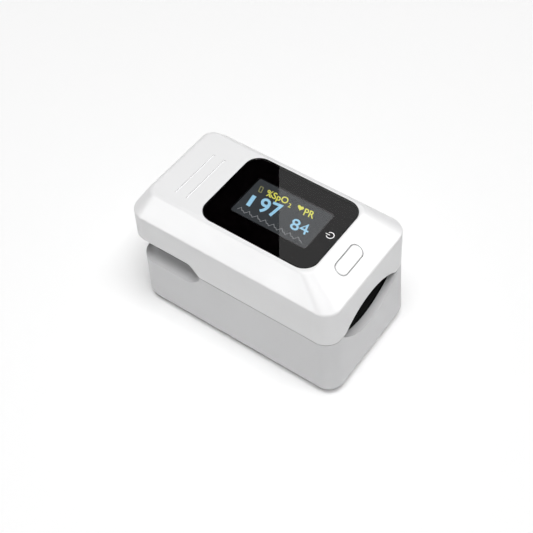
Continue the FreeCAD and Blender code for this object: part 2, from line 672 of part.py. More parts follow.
def route_with_arcs(points, radius):
    """Straight runs and tangent arcs through the points, as lists of points with their left sides."""
    spots = [FreeCAD.Vector(value(x), value(y), value(z)) for x, y, z in points]
    runs = []
    start = spots[0]
    for before, corner, after in zip(spots, spots[1:], spots[2:]):
        into = (corner - before).normalize()
        out = (after - corner).normalize()
        back = radius * math.tan(into.getAngle(out) / 2)
        first = corner - into * back
        last = corner + out * back
        centre = first + (out - into * into.dot(out)).normalize() * radius
        halfway = (corner - centre).normalize()
        outwards = 1 if left_of(into).dot(first - centre) > 0 else -1
        runs.append([(start, left_of(into)), (first, left_of(into))])
        runs.append([(first, left_of(into)), (centre + halfway * radius, halfway * outwards),
                     (last, left_of(out))])
        start = last
    end_side = left_of((spots[-1] - start).normalize())
    runs.append([(start, end_side), (spots[-1], end_side)])
    return runs


def bent_strip(name, points, radius, width):
    """A flat cable, bent in the XZ plane and even in thickness, centred on the middle plane."""
    runs = route_with_arcs([(x, f"-{width} / 2", z) for x, z in points], value(radius))
    half = value("flex_thickness") / 2
    edges = []
    ends = []
    for shift in (half, -half):
        for run in runs:
            spots = [spot + side * shift for spot, side in run]
            curve = Part.LineSegment(*spots) if len(spots) == 2 else Part.Arc(*spots)
            edges.append(curve.toShape())
        ends.append((runs[0][0][0] + runs[0][0][1] * shift, runs[-1][-1][0] + runs[-1][-1][1] * shift))
    edges.append(Part.LineSegment(ends[0][0], ends[1][0]).toShape())
    edges.append(Part.LineSegment(ends[0][1], ends[1][1]).toShape())
    face = Part.Face(Part.Wire(Part.__sortEdges__(edges)))
    strip = doc.addObject("Part::Feature", name)
    strip.Shape = face.extrude(FreeCAD.Vector(0, value(width), 0))
    strip.Placement = FreeCAD.Placement()
    return strip


# ---------------------------------------------------------------- main board, switch and button

CHIPS = [
    # tag, middle x, middle y, length, width, height: loose electronic parts on the main board
    ("processor", -1.5, 0.0, 7.0, 7.0, 1.2),
    ("front_end", 8.0, -2.5, 5.0, 5.0, 0.9),
    ("memory", 8.0, 4.6, 5.0, 4.0, 1.2),
    ("buzzer", -20.8, -6.0, 5.0, 5.0, 2.4),
    ("regulator", -20.0, 5.0, 3.0, 2.8, 1.1),
    ("crystal", -5.5, 5.2, 3.2, 1.5, 0.9),
]


def make_main_board():
    rear = f"{REAR_X} + upper_rear_draft + wall + board_end_gap"
    front = f"{SHOULDER_FRONT_X} - wall - board_end_gap"
    board = rounded_slab("board_slab", rear, front, "board_half_width", "board_thickness",
                         "board_height", BOARD_TOP_Z)
    keep(board, "main_board")

    pieces = []
    for tag, x, y, length, width, height in CHIPS:
        pieces.append(block(tag, f"{x} - {length} / 2", f"{x} + {length} / 2", f"{y} - {width} / 2",
                            f"{y} + {width} / 2", BOARD_TOP_Z, f"{BOARD_TOP_Z} + {height}"))
    keep(fuse("board_chip_group", pieces), "board_chips")


def make_panel_cable():
    """From the display panel's rear edge down to a connector on the main board."""
    panel_rear = "(panel_centre_x - panel_length / 2)"
    leave_z = f"{PANEL_Z} - flex_thickness / 2 - pad_seat_gap"
    plug_z = f"({BOARD_TOP_Z} + socket_height / 2)"
    bend_x = f"({panel_rear} - 2 * holder_wall)"
    socket_x = f"({bend_x} - panel_flex_end)"
    under = f"{panel_rear} - pad_seat_gap"
    keep(bent_strip("panel_cable_strip", [(under, leave_z), (bend_x, leave_z), (bend_x, plug_z),
                                          (socket_x, plug_z)], "panel_flex_bend", "panel_flex_width"), "panel_cable")
    socket = level_block("panel_socket_block", f"{socket_x} - socket_length", f"{socket_x} + socket_lip",
                         "panel_flex_width / 2 + socket_side", BOARD_TOP_Z,
                         f"{BOARD_TOP_Z} + socket_height")
    slot = level_block("panel_socket_slot", f"{socket_x} - pad_seat_gap", f"{socket_x} + {OVERCUT}",
                       "panel_flex_width / 2 + room_gap", f"{plug_z} - flex_thickness",
                       f"{plug_z} + flex_thickness")
    keep(cut("panel_socket_solid", socket, [slot]), "panel_cable_socket")


def make_switch():
    half = "switch_size / 2"
    case = block("switch_block", f"button_centre_x - {half}", f"button_centre_x + {half}",
                 f"button_centre_y - {half}", f"button_centre_y + {half}", BOARD_TOP_Z, SWITCH_TOP_Z)
    well = rod("switch_well", "Z", ("button_centre_x", "button_centre_y", f"{BOARD_TOP_Z} + switch_floor"),
               "plunger_radius + plunger_gap", "switch_thickness")
    keep(cut("switch_case", case, [well]), "switch_case")

    plunger = rod("plunger_rod", "Z", ("button_centre_x", "button_centre_y", f"{SWITCH_TOP_Z} - plunger_sunk"),
                  "plunger_radius", "plunger_proud + plunger_sunk")
    keep(plunger, "switch_plunger")


def make_button():
    """An oval cap whose top follows the ramp, on a wider foot that keeps it in the cover."""
    body = new_body("button_cap")
    foot = sketch_on(body, "button_foot_outline", "XY_Plane", FLANGE_Z)
    stadium(foot, "button_centre_x", "button_centre_y", "(button_length + 2 * button_flange)",
            "(button_width + 2 * button_flange)")
    pad(body, "button_foot", foot, "flange_thickness")
    cap = sketch_on(body, "button_cap_outline", "XY_Plane", FLANGE_Z)
    stadium(cap, "button_centre_x", "button_centre_y", "button_length", "button_width")
    pad(body, "button_column", cap, f"overall_height - {FLANGE_Z}")
    above = sketch_on(body, "button_trim_outline", "XZ_Plane")
    left = "(button_centre_x - button_width)"
    right = "(button_centre_x + button_width)"
    top = f"({TABLE_Z} + button_proud)"
    polygon(above, [
        (left, f"{top} - ({left} - {TABLE_FRONT_X}) * {RAMP_SLOPE}"),
        (right, f"{top} - ({right} - {TABLE_FRONT_X}) * {RAMP_SLOPE}"),
        (right, "overall_height + 2 * wall"),
        (left, "overall_height + 2 * wall"),
    ])
    trim = pocket(body, "button_trim", above, "overall_width", both_ways=True)
    clear_of_flange = value(f"{FLANGE_Z} + flange_thickness + button_clearance")

    def on_sloping_top(edge):
        ends = [corner.Point for corner in edge.Vertexes]
        upright = math.hypot(ends[0].x - ends[-1].x, ends[0].y - ends[-1].y) < 1e-6
        return not upright and all(end.z > clear_of_flange for end in ends)

    round_edges(body, "button_round", trim, "button_proud * 1.5", on_sloping_top)
    keep(body, "power_button")


# ---------------------------------------------------------------- upper frame, pad and emitter

def knuckle(name, inner_y, z_from, z_to, side):
    """One ear or post: a plate that ends in a round eye on the hinge axis, without its bore."""
    outer_y = f"({inner_y} + ear_thickness)"
    low_y = inner_y if side > 0 else f"-{outer_y}"
    high_y = outer_y if side > 0 else f"-({inner_y})"
    plate = block(f"{name}_plate", "hinge_x - knuckle_radius", "hinge_x + knuckle_radius", low_y, high_y,
                  z_from, z_to)
    eye = rod(f"{name}_eye", "Y", ("hinge_x", low_y, "hinge_height"), "knuckle_radius", "ear_thickness")
    return [plate, eye]


def screw_clearances(name, low, length, radius):
    return [rod(f"{name}_{tag}", "Z", (x, y, low), radius, length) for tag, x, y in screw_places()]


def make_upper_frame():
    half_width = f"({HALF_WIDTH} - wall - frame_gap)"
    front = UPPER_FRONT_X
    rear = f"{REAR_X} + upper_rear_draft + wall + frame_gap"
    wall_rear = "(rear_plate_x - frame_thickness)"
    pieces = [
        rounded_slab("frame_front_plate", wall_rear, front, half_width, "plan_radius - wall - frame_gap",
                     "frame_height", FRAME_TOP_Z),
        rounded_slab("frame_rear_plate", rear, "rear_plate_x", half_width, "plan_radius - wall - frame_gap",
                     "rear_plate_height", REAR_PLATE_TOP_Z),
        level_block("frame_step", wall_rear, "rear_plate_x", half_width, "rear_plate_height",
                    FRAME_TOP_Z),
    ]
    for side, tag in ((1, "left"), (-1, "right")):
        pieces += knuckle(f"ear_{tag}", EAR_INNER_Y, "hinge_height", "frame_height + root_depth", side)
    bore = level_rod("ear_bore", "hinge_x", "hinge_height", "pin_radius + pin_clearance", HALF_WIDTH)
    cable_slot = level_block("cable_slot", "hinge_x - jaw_flex_rise - lead_slot_room",
                             "hinge_x - jaw_flex_rise + lead_slot_room", "jaw_flex_width / 2 + 2 * head_gap",
                             f"frame_height - {OVERCUT}", f"{FRAME_TOP_Z} + {OVERCUT}")
    lead_slot = level_block("lead_slot", "sensor_x - emitter_lead_x - lead_slot_room",
                            "sensor_x - emitter_lead_x + lead_slot_room",
                            "emitter_lead_width / 2 + 2 * head_gap",
                            f"frame_height - {OVERCUT}", f"{FRAME_TOP_Z} + {OVERCUT}")
    holes = screw_clearances("frame_hole", f"rear_plate_height - {OVERCUT}",
                             "overall_height - rear_plate_height",
                             "screw_radius + screw_hole_clearance")
    solid = cut("upper_frame_solid", fuse("upper_frame_union", pieces),
                [bore, cable_slot, lead_slot] + holes)
    keep(solid, "upper_frame")


def make_upper_pad():
    """Soft black pad over the fingernail, arched like the opening, with an end stop."""
    slab = rounded_slab("upper_pad_slab", STOP_X, UPPER_FRONT_X, "pad_half_width", PAD_RADIUS,
                        "upper_pad_rim", UPPER_PAD_TOP_Z)
    hollow = rod("upper_pad_hollow", "X",
                 (TUNNEL_REAR_X, "0", "arch_top_height + seam_gap - arch_radius"), "arch_radius",
                 "overall_length")
    tools = [hollow] + emitter_rooms()
    tools += screw_clearances("upper_pad_head", f"{UPPER_PAD_TOP_Z} - screw_head_thickness - head_gap",
                              "wall", "screw_head_radius + head_gap")
    keep(cut("upper_pad_solid", slab, tools), "upper_finger_pad")


def sensor_block(name, length, width, margin, low, high):
    """A block centred on the sensor, larger by a margin all round."""
    return level_block(name, f"sensor_x - {length} / 2 - {margin}", f"sensor_x + {length} / 2 + {margin}",
                       f"({width} / 2 + {margin})", low, high)


EMITTER_BOARD_Z = f"({UPPER_PAD_TOP_Z} - sensor_board_thickness)"
EMITTER_CHIP_Z = f"({EMITTER_BOARD_Z} - sensor_chip_thickness)"
EMITTER_LENS_Z = f"({EMITTER_CHIP_Z} - pad_seat_gap - lens_thickness)"


def emitter_rooms():
    return [
        sensor_block("emitter_board_room", "sensor_board_length", "sensor_board_width", "room_gap",
                     EMITTER_CHIP_Z, "overall_height"),
        sensor_block("emitter_lens_room", "lens_length", "lens_width", "pad_seat_gap",
                     "seam_height", "overall_height"),
    ]


def make_emitter():
    keep(sensor_block("emitter_board_block", "sensor_board_length", "sensor_board_width", "0",
                      EMITTER_BOARD_Z, UPPER_PAD_TOP_Z), "emitter_board")
    chips = []
    for tag, sign in (("red_emitter", "-"), ("infrared_emitter", "+")):
        middle = f"sensor_x {sign} emitter_chip_offset"
        chips.append(level_block(tag, f"{middle} - emitter_chip_size / 2", f"{middle} + emitter_chip_size / 2",
                                 "emitter_chip_size / 2", EMITTER_CHIP_Z, EMITTER_BOARD_Z))
    keep(fuse("emitter_chip_pair", chips), "emitter_chips")
    keep(sensor_block("emitter_lens_block", "lens_length", "lens_width", "0", EMITTER_LENS_Z,
                      f"{EMITTER_CHIP_Z} - pad_seat_gap"), "emitter_lens")
    lead_x = "(sensor_x - emitter_lead_x)"
    keep(level_block("emitter_lead_strip", f"{lead_x} - flex_thickness / 2", f"{lead_x} + flex_thickness / 2",
                     "emitter_lead_width / 2", UPPER_PAD_TOP_Z, "board_height"), "emitter_cable")


# ---------------------------------------------------------------- screws

def cross_corners(reach, half):
    """The twelve corners of a plus sign."""
    corners = []
    for x, y in ((1, 1), (-1, 1), (-1, -1), (1, -1)):
        inner = (f"{x} * {half}", f"{y} * {half}")
        along_x = (f"{x} * {reach}", inner[1])
        along_y = (inner[0], f"{y} * {reach}")
        corners += [along_x, inner, along_y] if x * y > 0 else [along_y, inner, along_x]
    return corners


def make_screws(name, seats, upwards):
    """Four pan-head screws of one set; seats gives the height under each head."""
    screws = []
    for tag, x, y in screw_places():
        seat = seats[tag.split("_")[0]]
        body = new_body(f"{name}_{tag}")
        profile = sketch_on(body, f"{name}_{tag}_profile", "XZ_Plane")
        shank = "screw_length" if upwards else "-screw_length"
        head = "-screw_head_thickness" if upwards else "screw_head_thickness"
        polygon(profile, [
            ("0", shank), ("screw_radius * 0.7", shank), ("screw_radius", f"{shank} * 0.9"),
            ("screw_radius", "0"), ("screw_head_radius", "0"),
            ("screw_head_radius", f"{head} * 0.5"), ("screw_head_radius * 0.7", head), ("0", head),
        ])
        turned(body, f"{name}_{tag}_turned", profile, "V_Axis")
        drive = sketch_on(body, f"{name}_{tag}_drive", "XY_Plane", head)
        polygon(drive, cross_corners("drive_reach", "drive_half_width"))
        cross = pocket(body, f"{name}_{tag}_cross", drive, "screw_head_thickness * 0.6")
        cross.Reversed = upwards
        bind(body, "Placement.Base.x", x)
        bind(body, "Placement.Base.y", y)
        bind(body, "Placement.Base.z", seat)
        screws.append(body)
    keep(fuse(f"{name}_group", screws), name)


# ---------------------------------------------------------------- lower cover

def lower_outside():
    body, form = tapered_shell_form("lower_outside", [
        (LOWER_RIM_Z, LOWER_REAR_TOP_X, SEAM_FRONT_X, HALF_WIDTH, "plan_radius"),
        ("0", LOWER_REAR_BASE_X, f"{FRONT_X} + foot_overrun", HALF_WIDTH, "plan_radius"),
    ])
    round_edges(body, "base_fillet", form, "base_round", level_at("0"))
    return body


def lower_cavity():
    """Battery bay below the deck, and the open trough for the finger and hinge above it."""
    half = f"({HALF_WIDTH} - wall)"
    bay = rounded_slab("bay_form", f"{LOWER_REAR_BASE_X} + wall", INNER_FRONT_X, half, "plan_radius - wall",
                       "base_wall", "deck_floor")
    trough = rounded_slab("trough_form", "gap_front_x + wall", INNER_FRONT_X, half, "plan_radius - wall",
                          f"deck_floor - {OVERCUT}", "overall_height")
    hinge_well = level_block("hinge_well", "rear_plate_x - head_gap", "flare_start_x",
                             WELL_HALF_WIDTH, f"deck_floor - {OVERCUT}", "overall_height")
    room = fuse("lower_room", [bay, trough, hinge_well])
    standing = []
    for tag, x, y in screw_places():
        standing.append(rod(f"lower_boss_{tag}", "Z", (x, y, "0"), "boss_radius", f"{TRAY_Z} - pad_seat_gap"))
    return cut("lower_cavity", room, standing)


def rear_scoop():
    """The hollow round the rear rim: a thick bent rod laid along the wall, with round ends."""
    side_y = f"({HALF_WIDTH} + scoop_offset)"
    corner_x = f"({LOWER_REAR_TOP_X} + plan_radius)"
    corner_y = f"({HALF_WIDTH} - plan_radius)"
    pieces = [
        level_rod("scoop_rear", f"{LOWER_REAR_TOP_X} - scoop_offset", "scoop_height", "scoop_radius",
                  corner_y),
    ]
    for side, tag, turn in ((1, "left", 90), (-1, "right", 180)):
        y = side_y if side > 0 else f"-{side_y}"
        pieces.append(rod(f"scoop_{tag}", "X", (corner_x, y, "scoop_height"), "scoop_radius",
                          f"scoop_front_x - {corner_x}"))
        end = doc.addObject("Part::Sphere", f"scoop_end_{tag}")
        bind(end, "Radius", "scoop_radius")
        bind(end, "Placement.Base.x", "scoop_front_x")
        bind(end, "Placement.Base.y", y)
        bind(end, "Placement.Base.z", "scoop_height")
        pieces.append(end)
        bend = doc.addObject("Part::Torus", f"scoop_bend_{tag}")
        bend.Placement = FreeCAD.Placement(FreeCAD.Vector(), FreeCAD.Rotation(FreeCAD.Vector(0, 0, 1), turn))
        bend.Angle3 = 90
        bind(bend, "Radius1", "plan_radius + scoop_offset")
        bind(bend, "Radius2", "scoop_radius")
        bind(bend, "Placement.Base.x", corner_x)
        bind(bend, "Placement.Base.y", corner_y if side > 0 else f"-{corner_y}")
        bind(bend, "Placement.Base.z", "scoop_height")
        pieces.append(bend)
    return pieces


def make_lower_cover():
    above_deck = new_body("above_deck_form")
    outline = sketch_on(above_deck, "above_deck_outline", "XZ_Plane")
    polygon(outline, [
        (f"{REAR_X} - wall", "deck_height"),
        ("hinge_x - knuckle_radius", "deck_height"),
        ("gap_front_x - hinge_room", LOWER_RIM_Z),
        ("gap_front_x - hinge_room", "overall_height"),
        (f"{REAR_X} - wall", "overall_height"),
    ])
    pad(above_deck, "above_deck_pad", outline, "2 * overall_width", both_ways=True)

    sill = rod("front_sill", "X", (f"{SEAM_FRONT_X} - 3 * wall", "0", "sill_low_height + sill_radius"),
               "sill_radius", "6 * wall")
    opening = level_block("door_opening", f"{REAR_X} - wall", "door_front_x + door_gap",
                          "door_half_width + door_gap", f"-{OVERCUT}", "base_wall + door_gap")
    guide = level_block("door_groove", f"{REAR_X} - wall", "door_front_x - tongue_end + door_gap",
                        "door_half_width + tongue_width + door_gap", "tongue_height - door_gap",
                        "tongue_height + tongue_thickness + door_gap")
    pilots = screw_clearances("lower_pilot", f"{TRAY_TOP_Z} - screw_length - tip_room", "screw_length",
                              "screw_radius + screw_hole_clearance")
    tools = [lower_cavity(), above_deck, sill, opening, guide] + rear_scoop() + pilots
    keep(cut("lower_cover_solid", lower_outside(), tools), "lower_cover")


# ---------------------------------------------------------------- battery door

def make_battery_door():
    """The sliding slab of the base, with a guide tongue along each side and a ribbed thumb grip."""
    slab = level_block("door_slab", f"{REAR_X} - wall", "door_front_x", "door_half_width",
                       f"-{OVERCUT}", "base_wall")
    tongues = level_block("door_tongues", f"{LOWER_REAR_BASE_X} + base_round", "door_front_x - tongue_end",
                          "door_half_width + tongue_width", "tongue_height",
                          "tongue_height + tongue_thickness")
    solid = common("door_form", fuse("door_union", [slab, tongues]), doc.getObject("lower_outside"))
    ribs = []
    for index in range(int(value("grip_grooves"))):
        x = f"({CELL_REAR_X} + {index} * grip_pitch)"
        ribs.append(level_block(f"door_grip_{index}", x, f"{x} + grip_pitch / 2", "door_half_width / 2",
                                f"-{OVERCUT}", "groove_depth"))
    keep(cut("door_solid", solid, ribs), "battery_door")


# ---------------------------------------------------------------- battery tray, cells and contacts

def make_battery_tray():
    """Roof over the cells with end and side walls, and the two hinge posts on top."""
    half_width = f"({HALF_WIDTH} - wall - frame_gap)"
    rear = f"{LOWER_REAR_BASE_X} + wall + frame_gap"
    cell_side = "(cell_spacing / 2 + cell_radius + tray_gap)"
    rear_wall_x = f"({CELL_REAR_X} - contact_spring_room - contact_thickness - room_gap)"
    floor = "(base_wall + head_gap)"
    pieces = [
        rounded_slab("tray_roof", rear, TRAY_FRONT_X, half_width, "plan_radius - wall - frame_gap",
                     TRAY_Z, TRAY_TOP_Z),
        level_block("tray_front_wall", f"{TRAY_FRONT_X} - tray_wall", TRAY_FRONT_X,
                    f"{cell_side} + tray_wall", floor, f"{TRAY_Z} + root_depth"),
        level_block("tray_rear_wall", f"{rear_wall_x} - tray_wall", rear_wall_x,
                    f"{cell_side} + tray_wall", floor, f"{TRAY_Z} + root_depth"),
    ]
    for side, tag in ((1, "left"), (-1, "right")):
        low_y = cell_side if side > 0 else f"-({cell_side} + tray_wall)"
        high_y = f"({cell_side} + tray_wall)" if side > 0 else f"-{cell_side}"
        pieces.append(block(f"tray_side_{tag}", f"{rear_wall_x} - tray_wall", TRAY_FRONT_X, low_y, high_y,
                            floor, f"{TRAY_Z} + root_depth"))
        pieces += knuckle(f"post_{tag}", POST_INNER_Y, f"{TRAY_TOP_Z} - root_depth", "hinge_height", side)
    bore = level_rod("post_bore", "hinge_x", "hinge_height", "pin_radius + pin_clearance", HALF_WIDTH)
    bosses = screw_clearances("tray_boss_room", "0", TRAY_Z, "boss_radius + room_gap")
    holes = screw_clearances("tray_hole", f"{TRAY_Z} - {OVERCUT}", f"tray_thickness + 2 * {OVERCUT}",
                             "screw_radius + screw_hole_clearance")
    keep(cut("tray_solid", fuse("tray_union", pieces), [bore] + bosses + holes), "battery_tray")


def make_cells():
    for tag, side, forwards in (("left", "1", True), ("right", "-1", False)):
        body = new_body(f"cell_{tag}")
        profile = sketch_on(body, f"cell_{tag}_profile", "XZ_Plane")
        barrel = "(cell_length - cell_button_length)"
        polygon(profile, [
            ("0", "0"), ("0", "cell_radius - cell_chamfer"), ("cell_chamfer", "cell_radius"),
            (f"{barrel} - cell_chamfer", "cell_radius"), (barrel, "cell_radius - cell_chamfer"),
            (barrel, "cell_button_radius"), ("cell_length", "cell_button_radius"), ("cell_length", "0"),
        ])
        turned(body, f"cell_{tag}_turned", profile, "H_Axis")
        if forwards:
            bind(body, "Placement.Base.x", CELL_REAR_X)
        else:
            half_turn = FreeCAD.Rotation(FreeCAD.Vector(0, 0, 1), 180)
            body.Placement = FreeCAD.Placement(FreeCAD.Vector(), half_turn)
            bind(body, "Placement.Base.x", CELL_FRONT_X)
        bind(body, "Placement.Base.y", f"{side} * cell_spacing / 2")
        bind(body, "Placement.Base.z", CELL_Z)
        keep(body, f"battery_{tag}")


def contact_plate(name, x, y, width):
    half = f"{width} / 2"
    return block(name, x, f"{x} + contact_thickness", f"{y} - {half}", f"{y} + {half}",
                 f"{CELL_Z} - contact_height / 2", f"{CELL_Z} + contact_height / 2")


def contact_spring(name, x, y, reach):
    """A short coil of wire that stands on its plate and presses one cell end."""
    wire = value("contact_spring_wire")
    length = value(reach) - 2 * wire
    path = Part.makeHelix(length / value("contact_spring_turns"), length, value("contact_spring_radius"))
    edge = path.Edges[0]
    start = edge.valueAt(edge.FirstParameter)
    section = Part.Wire(Part.makeCircle(wire, start, edge.tangentAt(edge.FirstParameter)))
    spring = doc.addObject("Part::Feature", name)
    spring.Shape = Part.Wire(path.Edges).makePipeShell([section], True, True)
    # The helix is wound about its own Z; this lays it along +X.
    spring.Placement = FreeCAD.Placement(
        FreeCAD.Vector(value(x) + wire, value(y), value(CELL_Z)), ALONG["X"])
    return spring


def make_contacts():
    front_x = f"({CELL_FRONT_X} + pad_seat_gap)"
    rear_x = f"({CELL_REAR_X} - contact_spring_room - contact_thickness)"
    for tag, y in (("left", "cell_spacing / 2"), ("right", "-cell_spacing / 2")):
        keep(contact_plate(f"front_plate_{tag}", front_x, f"({y})", "contact_width"), f"front_contact_{tag}")
    keep(contact_plate("rear_plate", rear_x, "0", "(cell_spacing + contact_width)"), "rear_contact_bridge")
    keep(contact_spring("rear_spring_coil", f"{rear_x} + contact_thickness + contact_spring_gap",
                        "cell_spacing / 2", "contact_spring_room - 2 * contact_spring_gap"), "battery_spring")


# ---------------------------------------------------------------- lower pad and receiver

RECEIVER_BOARD_Z = f"({LOWER_PAD_Z} + flex_thickness + pad_seat_gap)"
RECEIVER_CHIP_Z = f"({RECEIVER_BOARD_Z} + sensor_board_thickness)"
RECEIVER_LENS_Z = f"({RECEIVER_CHIP_Z} + sensor_chip_thickness + pad_seat_gap)"


def flare_form():
    """The widening mouth of the lower tunnel, from the cradle's circle to the sill's circle."""
    body = new_body("flare_form")
    circles = []
    for tag, x, low, radius in (("inner", "flare_start_x", "cradle_height", "cradle_radius"),
                                ("outer", PAD_FRONT_X, "sill_low_height", "sill_radius")):
        outline = sketch_on(body, f"flare_{tag}", "YZ_Plane", x)
        circle(outline, "0", f"{low} + {radius}", radius)
        circles.append(outline)
    loft(body, "flare_loft", circles)
    return body


def make_lower_pad():
    """Soft black pad under the finger: a cradle that flares down to the sill, and an end stop."""
    form = rounded_slab("lower_pad_form", STOP_X, PAD_FRONT_X, "pad_half_width", PAD_RADIUS,
                        "pad_nose_floor", "lower_pad_rim")
    tray_room = level_block("lower_pad_tray_room", f"{STOP_X} - {OVERCUT}", f"{TRAY_FRONT_X} + pad_step_gap",
                            "overall_width", "0", LOWER_PAD_Z)
    hollow = rod("lower_pad_hollow", "X", (TUNNEL_REAR_X, "0", "cradle_height + cradle_radius"),
                 "cradle_radius", f"flare_start_x - {TUNNEL_REAR_X}")
    rooms = [
        sensor_block("receiver_board_room", "sensor_board_length", "sensor_board_width", "room_gap",
                     f"{LOWER_PAD_Z} - {OVERCUT}", f"{RECEIVER_CHIP_Z} + sensor_chip_thickness"),
        sensor_block("receiver_lens_room", "lens_length", "lens_width", "pad_seat_gap", RECEIVER_CHIP_Z,
                     "overall_height"),
        level_block("jaw_cable_room", f"{STOP_X} - {OVERCUT}", "sensor_x", "jaw_flex_width / 2 + head_gap",
                    f"{LOWER_PAD_Z} - {OVERCUT}", f"{LOWER_PAD_Z} + flex_thickness + room_gap"),
    ]
    heads = screw_clearances("lower_pad_head", f"{LOWER_PAD_Z} - {OVERCUT}",
                             f"screw_head_thickness + {OVERCUT} + head_gap", "screw_head_radius + head_gap")
    keep(cut("lower_pad_solid", form, [tray_room, hollow, flare_form()] + rooms + heads),
         "lower_finger_pad")


def make_receiver():
    keep(sensor_block("receiver_board_block", "sensor_board_length", "sensor_board_width", "0",
                      RECEIVER_BOARD_Z, RECEIVER_CHIP_Z), "receiver_board")
    keep(sensor_block("receiver_chip_block", "receiver_chip_size", "receiver_chip_size", "0", RECEIVER_CHIP_Z,
                      f"{RECEIVER_CHIP_Z} + sensor_chip_thickness"), "receiver_chip")
    keep(sensor_block("receiver_lens_block", "lens_length", "lens_width", "0", RECEIVER_LENS_Z,
                      f"{RECEIVER_LENS_Z} + lens_thickness"), "receiver_lens")


def make_jaw_cable():
    """Flat cable from the receiver, back under the pad, up behind the hinge to the main board."""
    low_z = f"({LOWER_PAD_Z} + flex_thickness / 2)"
    rise_x = "(hinge_x - jaw_flex_rise)"
    plug_z = "(board_height - socket_height / 2)"
    plug_x = "(hinge_x + jaw_flex_end)"
    keep(bent_strip("jaw_cable_strip", [("sensor_x", low_z), (rise_x, low_z), (rise_x, plug_z),
                                        (plug_x, plug_z)], "jaw_flex_bend", "jaw_flex_width"), "jaw_cable")
    socket = level_block("jaw_socket_block", f"{plug_x} - socket_lip", f"{plug_x} + socket_length",
                         "jaw_flex_width / 2 + socket_side", "board_height - socket_height", "board_height")
    slot = level_block("jaw_socket_slot", f"{plug_x} - {OVERCUT}", f"{plug_x} + pad_seat_gap",
                       "jaw_flex_width / 2 + room_gap", f"{plug_z} - flex_thickness",
                       f"{plug_z} + flex_thickness")
    keep(cut("jaw_socket_solid", socket, [slot]), "jaw_cable_socket")


# ---------------------------------------------------------------- hinge

def make_hinge_pin():
    body = new_body("pin_body")
    outline = sketch_on(body, "pin_outline", "XZ_Plane")
    circle(outline, "hinge_x", "hinge_height", "pin_radius")
    pin = pad(body, "pin_pad", outline, f"2 * {PIN_HALF_LENGTH}", both_ways=True)
    doc.recompute()
    chamfer = body.newObject("PartDesign::Chamfer", "pin_chamfer")
    rims = [f"Edge{index}" for index, edge in enumerate(pin.Shape.Edges, start=1)
            if isinstance(edge.Curve, Part.Circle)]
    chamfer.Base = (pin, rims)
    bind(chamfer, "Size", "pin_chamfer")
    keep(body, "hinge_pin")


def make_hinge_spring(tag, side):
    """A torsion spring round the pin; its two legs point to the rear and push the halves apart."""
    radius = value("spring_radius")
    wire = value("spring_wire")
    length = value("spring_length") - 2 * wire
    leg = value("spring_leg")
    slope = math.radians(value("spring_leg_angle"))
    turns = value("spring_turns") - 0.5 + slope / (2 * math.pi)
    coil = Part.makeHelix(length / turns, length, radius)
    edge = coil.Edges[0]
    first = edge.valueAt(edge.FirstParameter)
    first_way = edge.tangentAt(edge.FirstParameter)
    last_edge = coil.Edges[-1]
    last = last_edge.valueAt(last_edge.LastParameter)
    last_way = last_edge.tangentAt(last_edge.LastParameter)
    lead_in = Part.LineSegment(first - first_way * leg, first).toShape()
    lead_out = Part.LineSegment(last, last + last_way * leg).toShape()
    path = Part.Wire([lead_in] + coil.Edges + [lead_out])
    section = Part.Wire(Part.makeCircle(wire, first - first_way * leg, first_way))
    solid = path.makePipeShell([section], True, True)
    # The helix is wound about its own Z from its own +X; turning it lays Z along the pin and
    # brings the first leg to the underside of the coil, pointing to the rear.
    spring = doc.addObject("Part::Feature", f"hinge_spring_{tag}_wire")
    across = FreeCAD.Rotation(FreeCAD.Vector(1, 0, 0), 90)
    start_low = FreeCAD.Rotation(FreeCAD.Vector(0, 1, 0), 90)
    spring.Shape = solid
    inner = value(SPRING_INNER_Y) + wire
    y = inner + length if side > 0 else -inner
    spring.Placement = FreeCAD.Placement(
        FreeCAD.Vector(value("hinge_x"), y, value("hinge_height")), start_low * across)
    keep(spring, f"hinge_spring_{tag}")


# ---------------------------------------------------------------- build, check and write

make_upper_cover()
make_display()
make_main_board()
make_panel_cable()
make_switch()
make_button()
make_upper_frame()
make_upper_pad()
make_emitter()
make_screws("upper_screws", {"front": "frame_height", "rear": "rear_plate_height"}, upwards=True)
make_lower_cover()
make_battery_door()
make_battery_tray()
make_cells()
make_contacts()
make_lower_pad()
make_receiver()
make_jaw_cable()
make_screws("lower_screws", {"front": TRAY_TOP_Z, "rear": TRAY_TOP_Z}, upwards=False)
make_hinge_pin()
make_hinge_spring("left", 1)
make_hinge_spring("right", -1)

doc.recompute()
failed = [item.Name for item in doc.Objects if "Invalid" in item.State or "Error" in item.State]
if failed:
    raise RuntimeError(f"objects that did not recompute: {failed}")
for name, piece in PARTS.items():
    if piece.Shape.isNull() or not piece.Shape.isValid():
        raise RuntimeError(f"{name} has no valid shape")

os.makedirs("parts", exist_ok=True)
for name, piece in PARTS.items():
    piece.Shape.exportStep(f"parts/{name}.step")
    box = piece.Shape.BoundBox
    print(f"{name}: {len(piece.Shape.Solids)} solid(s), {piece.Shape.Volume:.1f} mm3, "
          f"x {box.XMin:.2f}..{box.XMax:.2f} y {box.YMin:.2f}..{box.YMax:.2f} "
          f"z {box.ZMin:.2f}..{box.ZMax:.2f}")
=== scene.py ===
# %% [markdown]
# # A fingertip pulse oximeter
# The object is a small white clip that shines light through a fingertip and shows two readings. The
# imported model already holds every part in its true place, so this lesson only gives the parts their
# finishes, adds the thin printed and glowing layers of the display, and sets up the studio.

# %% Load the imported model
import math

import bmesh
import bpy
from mathutils import Matrix, Vector


